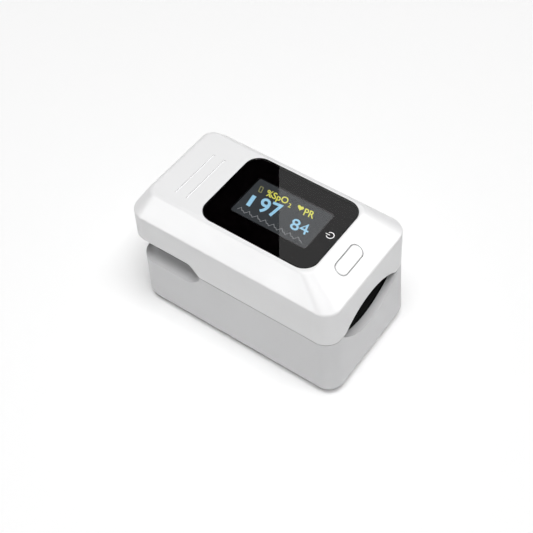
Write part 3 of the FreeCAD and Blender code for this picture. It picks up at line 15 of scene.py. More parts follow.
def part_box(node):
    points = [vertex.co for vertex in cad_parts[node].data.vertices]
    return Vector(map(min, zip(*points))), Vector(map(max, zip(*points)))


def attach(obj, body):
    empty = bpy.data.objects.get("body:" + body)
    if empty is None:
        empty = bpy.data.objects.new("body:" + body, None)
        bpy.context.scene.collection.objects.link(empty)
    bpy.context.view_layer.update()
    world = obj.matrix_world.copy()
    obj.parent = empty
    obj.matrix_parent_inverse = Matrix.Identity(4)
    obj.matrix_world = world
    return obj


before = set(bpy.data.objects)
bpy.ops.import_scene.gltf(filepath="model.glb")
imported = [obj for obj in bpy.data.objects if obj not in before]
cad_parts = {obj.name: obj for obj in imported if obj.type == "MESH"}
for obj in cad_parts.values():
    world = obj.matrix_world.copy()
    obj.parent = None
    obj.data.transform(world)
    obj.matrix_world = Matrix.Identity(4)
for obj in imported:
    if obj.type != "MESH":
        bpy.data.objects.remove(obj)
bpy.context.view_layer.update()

MM = 0.001
print("parts:", len(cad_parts))

# %% [markdown]
# ## Camera
# A long lens from about thirty centimetres away keeps the clip's edges nearly parallel, as in a
# catalogue picture. The camera is placed by two angles: how far it stands round towards the finger
# opening, and how high it looks down from. A tiny roll levels the picture as a hand-held camera would
# leave it.

# %% Camera
CAMERA_PLACE = Vector((98.04, -147.32, 226.69)) * MM
TOWARDS_OPENING = math.radians(34.02)
LOOKING_DOWN = math.radians(50.46)
ROLL = math.radians(0.84)
LENS_MM = 74.26

backwards = Vector((
    math.sin(TOWARDS_OPENING) * math.cos(LOOKING_DOWN),
    -math.cos(TOWARDS_OPENING) * math.cos(LOOKING_DOWN),
    math.sin(LOOKING_DOWN),
))
level = Vector((math.cos(TOWARDS_OPENING), math.sin(TOWARDS_OPENING), 0))
upright = backwards.cross(level)
right = level * math.cos(ROLL) + upright * math.sin(ROLL)
up = upright * math.cos(ROLL) - level * math.sin(ROLL)


def facing(across, upwards, back, place):
    """A matrix whose own axes are these three directions, for a camera or a lamp."""
    turn = Matrix((across, upwards, back)).transposed().to_4x4()
    return Matrix.Translation(place) @ turn


camera_data = bpy.data.cameras.new("studio_camera")
camera_data.lens = LENS_MM
camera = bpy.data.objects.new("studio_camera", camera_data)
camera.matrix_world = facing(right, up, backwards, CAMERA_PLACE)
bpy.context.scene.collection.objects.link(camera)
bpy.context.scene.camera = camera
print("camera to object, mm:", round(CAMERA_PLACE.length / MM))

# %% [markdown]
# ## Studio
# A white object on a white floor needs its shape from soft light alone. One large lamp overhead makes the
# top the brightest face, the white floor throws part of that light back at the walls, and a weak sky fills
# what is left. Two panels light no matt surface at all: they are only seen as a sheen, one along the near
# bevel and one on the front ramp, and light linking keeps them out of the window. The sky is weak as a
# light, white as a backdrop and hidden from reflections, so the black window stays black except where one
# tall panel is mirrored in it.

# %% Sky and floor
SKY_STRENGTH = 0.05
WHITE = (1.0, 1.0, 1.0, 1.0)
FLOOR_HALF = 1.5
FLOOR_DROP_MM = 0.02

world = bpy.data.worlds.new("studio_sky")
world.use_nodes = True
sky = world.node_tree.nodes["Background"]
sky.inputs["Color"].default_value = WHITE
sky.inputs["Strength"].default_value = SKY_STRENGTH
backdrop = world.node_tree.nodes.new("ShaderNodeBackground")
backdrop.inputs["Color"].default_value = WHITE
seen_directly = world.node_tree.nodes.new("ShaderNodeLightPath")
choice = world.node_tree.nodes.new("ShaderNodeMixShader")
world.node_tree.links.new(seen_directly.outputs["Is Camera Ray"], choice.inputs[0])
world.node_tree.links.new(sky.outputs[0], choice.inputs[1])
world.node_tree.links.new(backdrop.outputs[0], choice.inputs[2])
world.node_tree.links.new(choice.outputs[0], world.node_tree.nodes["World Output"].inputs["Surface"])
world.cycles_visibility.glossy = False
bpy.context.scene.world = world
bpy.context.scene.view_settings.view_transform = "Standard"

floor_mesh = bpy.data.meshes.new("studio_floor")
floor_mesh.from_pydata(
    [(-FLOOR_HALF, -FLOOR_HALF, 0), (FLOOR_HALF, -FLOOR_HALF, 0),
     (FLOOR_HALF, FLOOR_HALF, 0), (-FLOOR_HALF, FLOOR_HALF, 0)], [], [(0, 1, 2, 3)])
floor = bpy.data.objects.new("studio_floor", floor_mesh)
floor.location.z = -FLOOR_DROP_MM * MM
bpy.context.scene.collection.objects.link(floor)
print("floor, m:", 2 * FLOOR_HALF)

# %% Lamps


def softbox(name, size, power, place, aim, across=(1, 0, 0)):
    """A rectangular lamp at a place, turned to shine at a point; its long side runs along across."""
    data = bpy.data.lights.new(name, "AREA")
    data.shape = "RECTANGLE"
    data.size, data.size_y = size
    data.energy = power
    lamp = bpy.data.objects.new(name, data)
    back = (Vector(place) - Vector(aim)).normalized()
    upwards = back.cross(Vector(across)).normalized()
    lamp.matrix_world = facing(upwards.cross(back), upwards, back, Vector(place))
    lamp.visible_camera = False
    bpy.context.scene.collection.objects.link(lamp)
    return lamp


CLIP_MIDDLE = Vector((0, 0, 0.02))
OVERHEAD_PLACE = (0.12, -0.12, 1.22)
white_top = bpy.data.collections.new("white_top")
for name in ("upper_cover", "power_button"):
    white_top.objects.link(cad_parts[name])
softbox("overhead_lamp", size=(0.8, 0.8), power=15.6, place=OVERHEAD_PLACE, aim=CLIP_MIDDLE)


def sheen_panel(name, size, power, direction, distance=0.7):
    """A lamp that only shows as a sheen on the white top, in this direction from the clip."""
    panel = softbox(name, size, power, CLIP_MIDDLE + Vector(direction) * distance, CLIP_MIDDLE)
    panel.visible_diffuse = False
    panel.light_linking.receiver_collection = white_top


# The way from the clip to each panel, where that face mirrors the camera's line of sight.
BEVEL_MIRRORS = (-0.356, -0.811, 0.464)
RAMP_MIRRORS = (0.457, 0.528, 0.715)
sheen_panel("bevel_sheen", size=(0.5, 0.4), power=3.2, direction=BEVEL_MIRRORS)
sheen_panel("ramp_sheen", size=(0.4, 0.4), power=3.6, direction=RAMP_MIRRORS)

# The tall panel is placed where the window mirrors the camera's line of sight: the same view,
# turned upside down at the window.
PANEL_DISTANCE = 0.60
PANEL_SIZE = (0.5, 0.75)
PANEL_WATTS = 0.95
PANEL_EDGE = 0.0065
window_low, window_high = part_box("display_window")
window_middle = (window_low + window_high) / 2


def mirrored(direction):
    """A direction as a level window shows it."""
    return Vector((direction.x, direction.y, -direction.z))


panel_back = mirrored(backwards)
panel_place = window_middle - panel_back * PANEL_DISTANCE
panel_place += mirrored(right) * (PANEL_EDGE + PANEL_SIZE[0] / 2)
reflected = softbox("reflected_panel", PANEL_SIZE, PANEL_WATTS, panel_place, window_middle)
reflected.matrix_world = facing(mirrored(right), -mirrored(up), -panel_back, panel_place)
reflected.visible_diffuse = False

# %% [markdown]
# ## Writing materials as sums
# A material is a small network of nodes. Written out node by node it hides its own idea, so one class
# wraps an output and lets Python's plus, minus and times add the Math nodes. Every other node comes from
# one method that sets its choices first and its inputs second.

# %% Shader arithmetic


class Wire:
    """One output inside a material; arithmetic on it adds Math nodes to the same material."""

    def __init__(self, tree, socket=None):
        self.tree = tree
        self.socket = socket

    def node(self, kind, settings=None, inputs=None, output=0):
        made = self.tree.nodes.new(kind)
        for name, setting in (settings or {}).items():
            setattr(made, name, setting)
        for name, given in (inputs or {}).items():
            connect(self.tree, made.inputs[name], given)
        return Wire(self.tree, made.outputs[output])

    def math(self, operation, *terms):
        return self.node("ShaderNodeMath", {"operation": operation}, dict(enumerate(terms)))

    def __add__(self, other):
        return self.math("ADD", self, other)

    def __sub__(self, other):
        return self.math("SUBTRACT", self, other)

    def __rsub__(self, other):
        return self.math("SUBTRACT", other, self)

    def __mul__(self, other):
        return self.math("MULTIPLY", self, other)

    __radd__ = __add__
    __rmul__ = __mul__


def connect(tree, socket, given):
    """Links a wire to an input, or sets the input to a plain value."""
    if isinstance(given, Wire):
        tree.links.new(given.socket, socket)
    else:
        socket.default_value = given


# %% Building blocks for finishes


def new_finish(name):
    """A material with one Principled shader, and the wire that its nodes start from."""
    material = bpy.data.materials.new(name)
    material.use_nodes = True
    return material, Wire(material.node_tree)


def dress(material, sockets):
    """Sets or links the inputs of a material's Principled shader."""
    shader = material.node_tree.nodes["Principled BSDF"]
    for name, given in sockets.items():
        connect(material.node_tree, shader.inputs[name], given)
    return material


def spot_in_mm(start):
    """Where a surface point lies on the closed clip, in millimetres."""
    spot = start.node("ShaderNodeTexCoord", output="Object")
    return start.node("ShaderNodeVectorMath", {"operation": "SCALE"}, {0: spot, "Scale": 1 / MM})


def stretched(spot, stretch):
    """The same place with each axis multiplied, so that a pattern on it is drawn out."""
    return spot.node("ShaderNodeVectorMath", {"operation": "MULTIPLY"}, {0: spot, 1: stretch})


def noise(spot, per_mm, detail=2.0, roughness=0.5):
    """Soft random values from 0 to 1, with this many swings to a millimetre."""
    return spot.node("ShaderNodeTexNoise", None, {
        "Vector": spot, "Scale": per_mm, "Detail": detail, "Roughness": roughness})


def step(value, low, high):
    """0 below low, 1 above high, and a smooth rise between them."""
    return value.node("ShaderNodeMapRange", {"interpolation_type": "SMOOTHSTEP"}, {
        "Value": value, "From Min": low, "From Max": high})


def mix(share, first, second):
    """A colour on the way from the first to the second."""
    ports = {0: share, 6: first, 7: second}
    return share.node("ShaderNodeMix", {"data_type": "RGBA"}, ports, output=2)


def relief(height, depth_mm, strength=1.0, normal=None):
    """A Bump node: full height stands this many millimetres proud."""
    inputs = {"Height": height, "Distance": depth_mm * MM, "Strength": strength}
    if normal is not None:
        inputs["Normal"] = normal
    return height.node("ShaderNodeBump", None, inputs)


def soft_edges(start, radius_mm):
    """Normals that turn smoothly across a sharp edge, like its tiny moulded radius."""
    return start.node("ShaderNodeBevel", {"samples": 4}, {"Radius": radius_mm * MM})


def grey(level, blue=1.0):
    """An opaque grey, with a little more or less blue in it."""
    return (level, level, level * blue, 1.0)


def say(title, *finishes):
    """Prints the names of the finishes that a cell made."""
    print(title + ":", ", ".join(finish.name for finish in finishes))


# %% [markdown]
# ## Moulded plastic
# Most of the clip is ABS pressed into a spark-eroded mould, which leaves a fine satin grain. Real white
# mouldings are never one white: the resin flows in faint clouds, handling polishes some places, and a few
# hairline scuffs catch the light. Each of these is a noise of its own size, kept so weak that it is felt
# more than seen.

# %% Moulded plastic


def moulded_plastic(name, dark, light, sheen, edge_mm=0.12, grain_mm=0.004, scuff=0.10):
    """Satin plastic between two colours; sheen is its roughness where nothing has touched it."""
    material, start = new_finish(name)
    spot = spot_in_mm(start)
    clouds = noise(spot, 0.07, detail=3.0)
    streaks = noise(stretched(spot, (0.05, 0.22, 0.22)), 1.0, detail=2.0)
    handling = step(noise(spot, 0.16, detail=4.0), 0.35, 0.75)
    hairlines = step(noise(stretched(spot, (0.35, 6.0, 3.0)), 1.0, detail=3.0), 0.66, 0.72)
    grain = noise(spot, 6.0, detail=2.0)
    return dress(material, {
        "Base Color": mix(clouds * 0.7 + streaks * 0.3, dark, light),
        "Roughness": sheen - handling * 0.06 + hairlines * scuff + (grain - 0.5) * 0.06,
        "Normal": relief(grain + hairlines * 0.5, grain_mm, normal=soft_edges(start, edge_mm)),
        "IOR": 1.53,
    })


white_shell = moulded_plastic("white_shell", grey(0.85, 1.004), grey(0.88, 1.006), 0.40)
# The lower half and battery door get a darker white than the upper cover: painted shade for the lower walls
# and the scoop under the upper half.
white_base_painted_shade = moulded_plastic("white_base_painted_shade", grey(0.70, 1.01), grey(0.73, 1.015), 0.44)
button_white = moulded_plastic("button_white", grey(0.87), grey(0.89), 0.34, edge_mm=0.08)
black_frame = moulded_plastic("black_frame", grey(0.018), grey(0.028), 0.48, grain_mm=0.008)
black_plunger = moulded_plastic("black_plunger", grey(0.04), grey(0.055), 0.42, edge_mm=0.05)
ivory_socket = moulded_plastic("ivory_socket", (0.68, 0.62, 0.48, 1), (0.76, 0.71, 0.58, 1), 0.5)
black_resin = moulded_plastic("black_resin", grey(0.022), grey(0.034), 0.55, edge_mm=0.05)
say("plastics", white_shell, white_base_painted_shade, button_white)
say("inner plastics", black_frame, black_plunger, ivory_socket, black_resin)

# %% [markdown]
# ## Finger rubber
# The pads that hold the finger are soft black silicone, which drinks light and shows pale dust. The
# surface is left matt by the mould, so its grain is coarser than the shell's and its shine is dull and
# broad.

# %% Finger rubber
finger_rubber, start = new_finish("finger_rubber")
spot = spot_in_mm(start)
dust = step(noise(spot, 3.5, detail=4.0, roughness=0.7), 0.62, 0.78)
pores = noise(spot, 3.0, detail=3.0, roughness=0.6)
worn = step(noise(spot, 0.2, detail=2.0), 0.4, 0.7)
dress(finger_rubber, {
    "Base Color": mix(dust * 0.25 + worn * 0.1, grey(0.006), grey(0.04)),
    "Roughness": 0.66 - worn * 0.10 + pores * 0.08,
    "Specular IOR Level": 0.3,
    "Normal": relief(pores, 0.02, normal=soft_edges(start, 0.2)),
    "IOR": 1.41,
})
say("rubber", finger_rubber)

# %% [markdown]
# ## Window, tape and display glass
# The window is one millimetre of smoked acrylic, polished, and it really is see-through: the print and
# the readings lie below it. A transmitting shader bends the view as the real sheet does. Fingertips leave
# faint smears, which only change how sharp the reflection is.

# %% Window, tape and display glass
window_acrylic, start = new_finish("window_acrylic")
spot = spot_in_mm(start)
smears = step(noise(stretched(spot, (0.25, 0.6, 1.0)), 1.0, detail=4.0, roughness=0.6), 0.5, 0.8)
dress(window_acrylic, {
    "Base Color": mix(noise(spot, 0.3), (0.86, 0.84, 0.85, 1), (0.92, 0.90, 0.91, 1)),
    "Roughness": 0.01 + smears * 0.015,
    "Transmission Weight": 1.0,
    "IOR": 1.49,
    "Normal": soft_edges(start, 0.12),
})

black_print, start = new_finish("black_print")
spot = spot_in_mm(start)
dress(black_print, {
    "Base Color": mix(noise(spot, 0.8, detail=3.0), (0.0022, 0.0014, 0.0018, 1), (0.004, 0.0028, 0.0034, 1)),
    "Roughness": 0.5 + noise(spot, 1.5) * 0.1,
    "Specular IOR Level": 0.0,
})

black_tape, start = new_finish("black_tape")
spot = spot_in_mm(start)
fibres = noise(stretched(spot, (1.0, 9.0, 9.0)), 1.0, detail=3.0)
dress(black_tape, {
    "Base Color": mix(fibres, grey(0.012), grey(0.03)),
    "Roughness": 0.7 + fibres * 0.2,
    "Normal": relief(fibres, 0.02),
})

panel_glass, start = new_finish("panel_glass")
spot = spot_in_mm(start)
dress(panel_glass, {
    "Base Color": mix(noise(spot, 0.4), (0.006, 0.007, 0.008, 1), (0.010, 0.011, 0.012, 1)),
    "Roughness": 0.08 + noise(spot, 2.0, detail=3.0) * 0.05,
    "Normal": soft_edges(start, 0.1),
})
say("window finishes", window_acrylic, black_print, black_tape, panel_glass)

# %% [markdown]
# ## Glowing dots
# The display is a grid of tiny lamps. A lit letter is therefore not one flat glow: every dot is a little
# brighter in its middle. The grid is made from the place itself, as a wave along each axis, and it only
# dims the light between the dots. The unlit field glows a faint grey, which is a painted reflection: the
# dark panel under the window only looks grey by what it mirrors.

# %% Glowing dots
DOT_PITCH_MM = 0.17


def ripple(spot, axis):
    """Bright in the middle of each dot and dim between dots, along one axis."""
    parts = spot.node("ShaderNodeSeparateXYZ", None, {0: spot}, output=axis)
    return parts.math("SINE", parts * (2 * math.pi / DOT_PITCH_MM)) * 0.5 + 0.5


def glowing(name, colour, strength, dot_depth):
    """Light of one colour; dot_depth is the share of it that is missing between dots."""
    material, start = new_finish(name)
    spot = spot_in_mm(start)
    dots = ripple(spot, 0) * ripple(spot, 1)
    uneven = noise(spot, 0.5, detail=2.0) * 0.25
    dim = tuple(channel * (1 - dot_depth) for channel in colour) + (1.0,)
    return dress(material, {
        "Base Color": mix(dots, grey(0.004), grey(0.008)),
        "Roughness": 0.4 + noise(spot, 1.0) * 0.1,
        "Specular IOR Level": 0.0,
        "Emission Color": mix(dots * 0.75 + uneven, dim, (*colour, 1.0)),
        "Emission Strength": strength,
    })


# The field's faint grey glow is a painted reflection of the studio in the dark panel.
field_painted_reflection = glowing("field_painted_reflection", (0.050, 0.057, 0.062), 1.0, dot_depth=0.15)
lit_yellow = glowing("lit_yellow", (1.0, 1.0, 0.16), 1.0, dot_depth=0.2)
lit_blue = glowing("lit_blue", (0.40, 0.76, 1.0), 1.1, dot_depth=0.2)
lit_trace = glowing("lit_trace", (0.36, 0.38, 0.39), 1.0, dot_depth=0.2)
lit_outline = glowing("lit_outline", (0.36, 0.36, 0.14), 1.0, dot_depth=0.2)

# The ink is printed, not lit from behind: its emission is painted light that keeps it white under the
# acrylic.
white_ink_painted_glow, start = new_finish("white_ink_painted_glow")
spot = spot_in_mm(start)
speckle = noise(spot, 8.0, detail=2.0)
dress(white_ink_painted_glow, {
    "Base Color": mix(speckle, grey(0.75), grey(0.85)),
    "Roughness": 0.45 + speckle * 0.1,
    "Emission Color": mix(speckle, grey(0.78), grey(0.95)),
    "Emission Strength": 0.8,
})
say("display finishes", field_painted_reflection, lit_yellow, lit_blue, lit_trace, lit_outline, white_ink_painted_glow)

# %% [markdown]
# ## Metals
# The hinge pin is ground, the springs are drawn through a die and the contacts are rolled strip. All three
# leave fine lines along the way that the metal was worked, so one function draws out a noise along that
# way and lets it move both the shine and the surface.

# %% Metals


def worked_metal(name, dark, light, sheen, lines, relief_mm=0.003):
    """Metal with fine lines along the axis that lines stretches least."""
    material, start = new_finish(name)
    spot = spot_in_mm(start)
    drawn = noise(stretched(spot, lines), 1.0, detail=4.0, roughness=0.6)
    stains = step(noise(spot, 0.5, detail=4.0), 0.45, 0.75)
    return dress(material, {
        "Base Color": mix(drawn * 0.6 + stains * 0.4, light, dark),
        "Metallic": 1.0,
        "Roughness": sheen + drawn * 0.12 + stains * 0.08,
        "Normal": relief(drawn, relief_mm, normal=soft_edges(start, 0.05)),
    })


ground_pin = worked_metal("ground_pin", grey(0.42), grey(0.58), 0.22, (9.0, 0.6, 9.0))
drawn_wire = worked_metal("drawn_wire", grey(0.40), grey(0.60), 0.28, (0.8, 6.0, 6.0))
plated_screw = worked_metal("plated_screw", grey(0.36), grey(0.52), 0.30, (5.0, 5.0, 0.8))
nickel_strip = worked_metal("nickel_strip", (0.52, 0.50, 0.45, 1), (0.74, 0.71, 0.65, 1), 0.20, (6, 0.8, 6))
stamped_steel = worked_metal("stamped_steel", grey(0.46), grey(0.62), 0.26, (0.8, 6.0, 6.0))
say("metals", ground_pin, drawn_wire, plated_screw, nickel_strip, stamped_steel)

# %% [markdown]
# ## Circuit boards and flat cables
# A board is glass cloth under green lacquer, with copper lines that show as slightly lighter ridges. The
# flat cables are amber film with copper lines along them. Both patterns are bands made from the place, cut
# by a step, so they have clean edges at any size.

# %% Circuit boards and flat cables
BAND_SOFTNESS = 0.06
TRACE_PITCH_MM, TRACE_SHARE = 0.9, 0.4


def bands(spot, axis, pitch_mm, share):
    """1 inside evenly spaced bands that cover this share of each pitch, 0 between them."""
    along = spot.node("ShaderNodeSeparateXYZ", None, {0: spot}, output=axis)
    wave = along.math("PINGPONG", along * (2 / pitch_mm), 1.0)
    return step(wave, 1 - share - BAND_SOFTNESS, 1 - share + BAND_SOFTNESS)


green_board, start = new_finish("green_board")
spot = spot_in_mm(start)
cells = noise(stretched(spot, (0.35, 0.35, 0.35)), 1.0, detail=0.0)
crosswise = bands(spot, 0, TRACE_PITCH_MM, TRACE_SHARE) * step(cells, 0.5, 0.52)
lengthwise = bands(spot, 1, TRACE_PITCH_MM, TRACE_SHARE) * (1 - step(cells, 0.48, 0.5))
traces = crosswise + lengthwise
dress(green_board, {
    "Base Color": mix(traces * 0.7 + noise(spot, 2.0) * 0.3, (0.010, 0.10, 0.045, 1), (0.03, 0.22, 0.10, 1)),
    "Roughness": 0.30 + noise(spot, 5.0) * 0.1,
    "Normal": relief(traces, 0.02, normal=soft_edges(start, 0.05)),
})

amber_film, start = new_finish("amber_film")
spot = spot_in_mm(start)
copper = bands(spot, 1, pitch_mm=0.5, share=0.5)
dress(amber_film, {
    "Base Color": mix(copper * 0.8 + noise(spot, 1.0) * 0.2, (0.42, 0.17, 0.025, 1), (0.72, 0.36, 0.12, 1)),
    "Roughness": 0.32 - copper * 0.08 + noise(spot, 3.0) * 0.08,
    "Normal": relief(copper, 0.015),
})
say("board finishes", green_board, amber_film)

# %% [markdown]
# ## Light sources, light sensor and their clear covers
# Two tiny chips shine red and infrared light down through the nail, and a dark chip below catches it. They
# sit behind small clear windows, which are slightly frosted.

# %% Sensor finishes


def tinted_resin(name, dark, light, sheen, clear=0.0, edge_mm=0.05):
    """Cast resin, from solid colour at clear=0 to see-through at clear=1."""
    material, start = new_finish(name)
    spot = spot_in_mm(start)
    flow = noise(spot, 1.5, detail=3.0)
    return dress(material, {
        "Base Color": mix(flow, dark, light),
        "Roughness": sheen + flow * 0.06,
        "Transmission Weight": clear,
        "IOR": 1.5,
        "Normal": soft_edges(start, edge_mm),
    })


red_emitter = tinted_resin("red_emitter", (0.42, 0.05, 0.04, 1), (0.62, 0.10, 0.07, 1), 0.18)
dark_receiver = tinted_resin("dark_receiver", (0.03, 0.02, 0.05, 1), (0.07, 0.05, 0.10, 1), 0.15)
clear_lens = tinted_resin("clear_lens", (0.80, 0.82, 0.84, 1), (0.88, 0.90, 0.92, 1), 0.06, clear=1.0)
say("sensor finishes", red_emitter, dark_receiver, clear_lens)

# %% [markdown]
# ## Battery cells
# A cell is a steel can in a printed sleeve. The sleeve stops short of both ends, so bare steel shows as a
# ring at each end, and a copper-coloured band marks the positive end. The two cells lie opposite ways, so
# the function is told which way each one points.

# %% Battery cells
BARE_AT_FLAT_END, BARE_AT_POSITIVE_END = 0.6, 1.7
SLEEVE_EDGE = 0.1
RING_STARTS, COPPER_STARTS = 0.700, 0.72


def cell_sleeve(name, node, positive_forwards):
    """The finish of one cell; the ring and the copper start at shares of the cell's own length."""
    low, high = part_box(node)
    rear, front = low.x / MM, high.x / MM
    material, start = new_finish(name)
    spot = spot_in_mm(start)
    along = start.node("ShaderNodeSeparateXYZ", None, {0: spot}, output=0)
    from_flat_end = along - rear if positive_forwards else front - along
    length = front - rear
    sleeve_ends = length - BARE_AT_POSITIVE_END
    sleeve = step(from_flat_end, BARE_AT_FLAT_END, BARE_AT_FLAT_END + SLEEVE_EDGE)
    sleeve = sleeve * (1 - step(from_flat_end, sleeve_ends, sleeve_ends + SLEEVE_EDGE))
    copper_band = step(from_flat_end, length * COPPER_STARTS, length * (COPPER_STARTS + 0.005))
    ring = step(from_flat_end, length * RING_STARTS, length * (RING_STARTS + 0.004)) - copper_band
    wear = noise(spot, 1.2, detail=4.0, roughness=0.65)
    blue_grey = mix(wear, (0.018, 0.032, 0.060, 1), (0.035, 0.055, 0.095, 1))
    copper = mix(wear, (0.52, 0.24, 0.09, 1), (0.66, 0.34, 0.15, 1))
    printed = mix(ring, mix(copper_band, blue_grey, copper), grey(0.8))
    return dress(material, {
        "Base Color": mix(sleeve, grey(0.6), printed),
        "Metallic": 1 - sleeve * (1 - copper_band * 0.7),
        "Roughness": 0.30 + wear * 0.12,
        "Normal": relief(sleeve + wear * 0.05, 0.05),
    })


sleeve_left = cell_sleeve("sleeve_left", "battery_left", positive_forwards=True)
sleeve_right = cell_sleeve("sleeve_right", "battery_right", positive_forwards=False)
say("cell sleeves", sleeve_left, sleeve_right)

# %% [markdown]
# ## Give every part its finish
# The parts keep their own meshes, so a finish is only put in their slots. A list of parts for each finish
# reads like a bill of materials.

# %% Give every part its finish
FINISH_OF = {
    white_shell: ["upper_cover"],
    white_base_painted_shade: ["lower_cover", "battery_door"],
    button_white: ["power_button"],
    window_acrylic: ["display_window"],
    black_tape: ["window_adhesive"],
    panel_glass: ["display_panel"],
    black_frame: ["display_holder", "upper_frame", "battery_tray"],
    green_board: ["main_board", "emitter_board", "receiver_board"],
    black_resin: ["board_chips"],
    amber_film: ["panel_cable", "jaw_cable", "emitter_cable"],
    ivory_socket: ["panel_cable_socket", "jaw_cable_socket"],
    stamped_steel: ["switch_case"],
    black_plunger: ["switch_plunger"],
    finger_rubber: ["upper_finger_pad", "lower_finger_pad"],
    red_emitter: ["emitter_chips"],
    dark_receiver: ["receiver_chip"],
    clear_lens: ["emitter_lens", "receiver_lens"],
    plated_screw: ["upper_screws", "lower_screws"],
    ground_pin: ["hinge_pin"],
    drawn_wire: ["hinge_spring_left", "hinge_spring_right", "battery_spring"],
    nickel_strip: ["front_contact_left", "front_contact_right", "rear_contact_bridge"],
    sleeve_left: ["battery_left"],
    sleeve_right: ["battery_right"],
}
finished = []
for finish, names in FINISH_OF.items():
    for name in names:
        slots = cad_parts[name].data.materials
        slots.clear()
        slots.append(finish)
        finished.append(name)
print("finished", len(finished), "parts; left:", sorted(set(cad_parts) - set(finished)))

# %% [markdown]
# ## Thin layers of the display
# The print on the window's underside and the lit marks are as thin as ink. Each is still a closed solid: its
# flat shape is drawn first, then pulled up by a hundredth of a millimetre.

# %% Thin layers
LAYER_MM = 0.01
MITRE_LIMIT = 0.5


def thin_layer(name, draw, low_mm, finish):
    """Draws flat faces in millimetres, thickens them upwards, and fixes the piece to the upper half."""
    shape = bmesh.new()
    draw(shape)
    grown = bmesh.ops.extrude_face_region(shape, geom=shape.faces[:])["geom"]
    raised = [item for item in grown if isinstance(item, bmesh.types.BMVert)]
    bmesh.ops.translate(shape, verts=raised, vec=(0, 0, LAYER_MM))
    bmesh.ops.recalc_face_normals(shape, faces=shape.faces[:])
    bmesh.ops.translate(shape, verts=shape.verts[:], vec=(0, 0, low_mm))
    bmesh.ops.scale(shape, verts=shape.verts[:], vec=(MM, MM, MM))
    mesh = bpy.data.meshes.new(name)
    shape.to_mesh(mesh)
    shape.free()
    mesh.materials.append(finish)
    piece = bpy.data.objects.new(name, mesh)
    bpy.context.scene.collection.objects.link(piece)
    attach(piece, "upper_half")
    print(name, len(mesh.polygons), "faces")


def rounded_loop(left, right, low, high, radius, steps=8):
    """The corners of a rounded rectangle, anticlockwise."""
    points = []
    centres = [(right - radius, high - radius), (left + radius, high - radius),
               (left + radius, low + radius), (right - radius, low + radius)]
    for quarter, (x, y) in enumerate(centres):
        for index in range(steps + 1):
            angle = math.radians(90) * (quarter + index / steps)
            points.append((x + radius * math.cos(angle), y + radius * math.sin(angle)))
    return points


def leaned(points, lean, base):
    """The points pushed sideways as they rise, as slanted lettering is."""
    return [(x + (y - base) * lean, y) for x, y in points]


def fill(shape, loop):
    """One flat face inside a loop of points."""
    shape.faces.new([shape.verts.new((x, y, 0)) for x, y in loop])


def band_between(shape, outer, inner):
    """Faces between two loops with equal numbers of points."""
    outside = [shape.verts.new((x, y, 0)) for x, y in outer]
    inside = [shape.verts.new((x, y, 0)) for x, y in inner]
    for index in range(len(outer)):
        after = (index + 1) % len(outer)
        shape.faces.new((outside[index], outside[after], inside[after], inside[index]))


def ribbon(shape, points, width):
    """A line of even width through the points, with mitred corners."""
    spots = [Vector(point) for point in points]
    left_side, right_side = [], []
    for index, spot in enumerate(spots):
        before = spots[max(index - 1, 0)]
        after = spots[min(index + 1, len(spots) - 1)]
        into = (spot - before).normalized() if index else (after - spot).normalized()
        out = (after - spot).normalized() if index < len(spots) - 1 else into
        side = Vector((-(into + out).y, (into + out).x)).normalized()
        reach = width / 2 / max(side.dot(Vector((-into.y, into.x))), MITRE_LIMIT)
        left_side.append(shape.verts.new((*(spot + side * reach), 0)))
        right_side.append(shape.verts.new((*(spot - side * reach), 0)))
    for index in range(len(spots) - 1):
        shape.faces.new((right_side[index], right_side[index + 1], left_side[index + 1], left_side[index]))


# %% [markdown]
# ## The window's print
# The window is printed black underneath, with one clear opening for the display. The power mark is printed
# white beside that opening, next to the button that it names. Its white ink also glows a little, which is
# painted light.

# %% The window's print
PRINT_MARGIN = 0.15
PRINT_ABOVE_TAPE = 0.02
WHITE_ABOVE_BLACK = 0.02
WINDOW_RADIUS = 4.0
FIELD = {"left": -7.9, "right": 13.15, "low": -6.0, "high": 6.4}
FIELD_RADIUS = 0.5
OPENING_MARGIN = 0.35

window_left, window_right = window_low.x / MM, window_high.x / MM
window_half = window_high.y / MM
print_low = window_low.z / MM + PRINT_ABOVE_TAPE


def draw_print(shape):
    """A rounded frame: the window's outline, less a margin, around the clear opening."""
    outer = rounded_loop(window_left + PRINT_MARGIN, window_right - PRINT_MARGIN,
                         -window_half + PRINT_MARGIN, window_half - PRINT_MARGIN,
                         WINDOW_RADIUS - PRINT_MARGIN)
    inner = rounded_loop(FIELD["left"] - OPENING_MARGIN, FIELD["right"] + OPENING_MARGIN,
                         FIELD["low"] - OPENING_MARGIN, FIELD["high"] + OPENING_MARGIN,
                         FIELD_RADIUS + OPENING_MARGIN)
    band_between(shape, outer, inner)


thin_layer("window_print", draw_print, print_low, black_print)

POWER_PLACE = (15.95, 0.59)
POWER_RADIUS = 0.92
POWER_STROKE = 0.21
POWER_GAP_DEGREES = 38
POWER_STEPS = 40
POWER_BAR_FROM, POWER_BAR_TO = 0.1, 1.25


def draw_power(shape):
    """A ring that is open towards the rear, with a short bar through the opening."""
    ring = []
    for index in range(POWER_STEPS + 1):
        sweep = (360 - 2 * POWER_GAP_DEGREES) * index / POWER_STEPS
        angle = math.radians(180 + POWER_GAP_DEGREES + sweep)
        ring.append((POWER_PLACE[0] + POWER_RADIUS * math.cos(angle),
                     POWER_PLACE[1] + POWER_RADIUS * math.sin(angle)))
    ribbon(shape, ring, POWER_STROKE)
    bar = [(POWER_PLACE[0] - back, POWER_PLACE[1]) for back in (POWER_BAR_FROM, POWER_BAR_TO)]
    ribbon(shape, bar, POWER_STROKE)


thin_layer("power_mark", draw_power, print_low + WHITE_ABOVE_BLACK, white_ink_painted_glow)

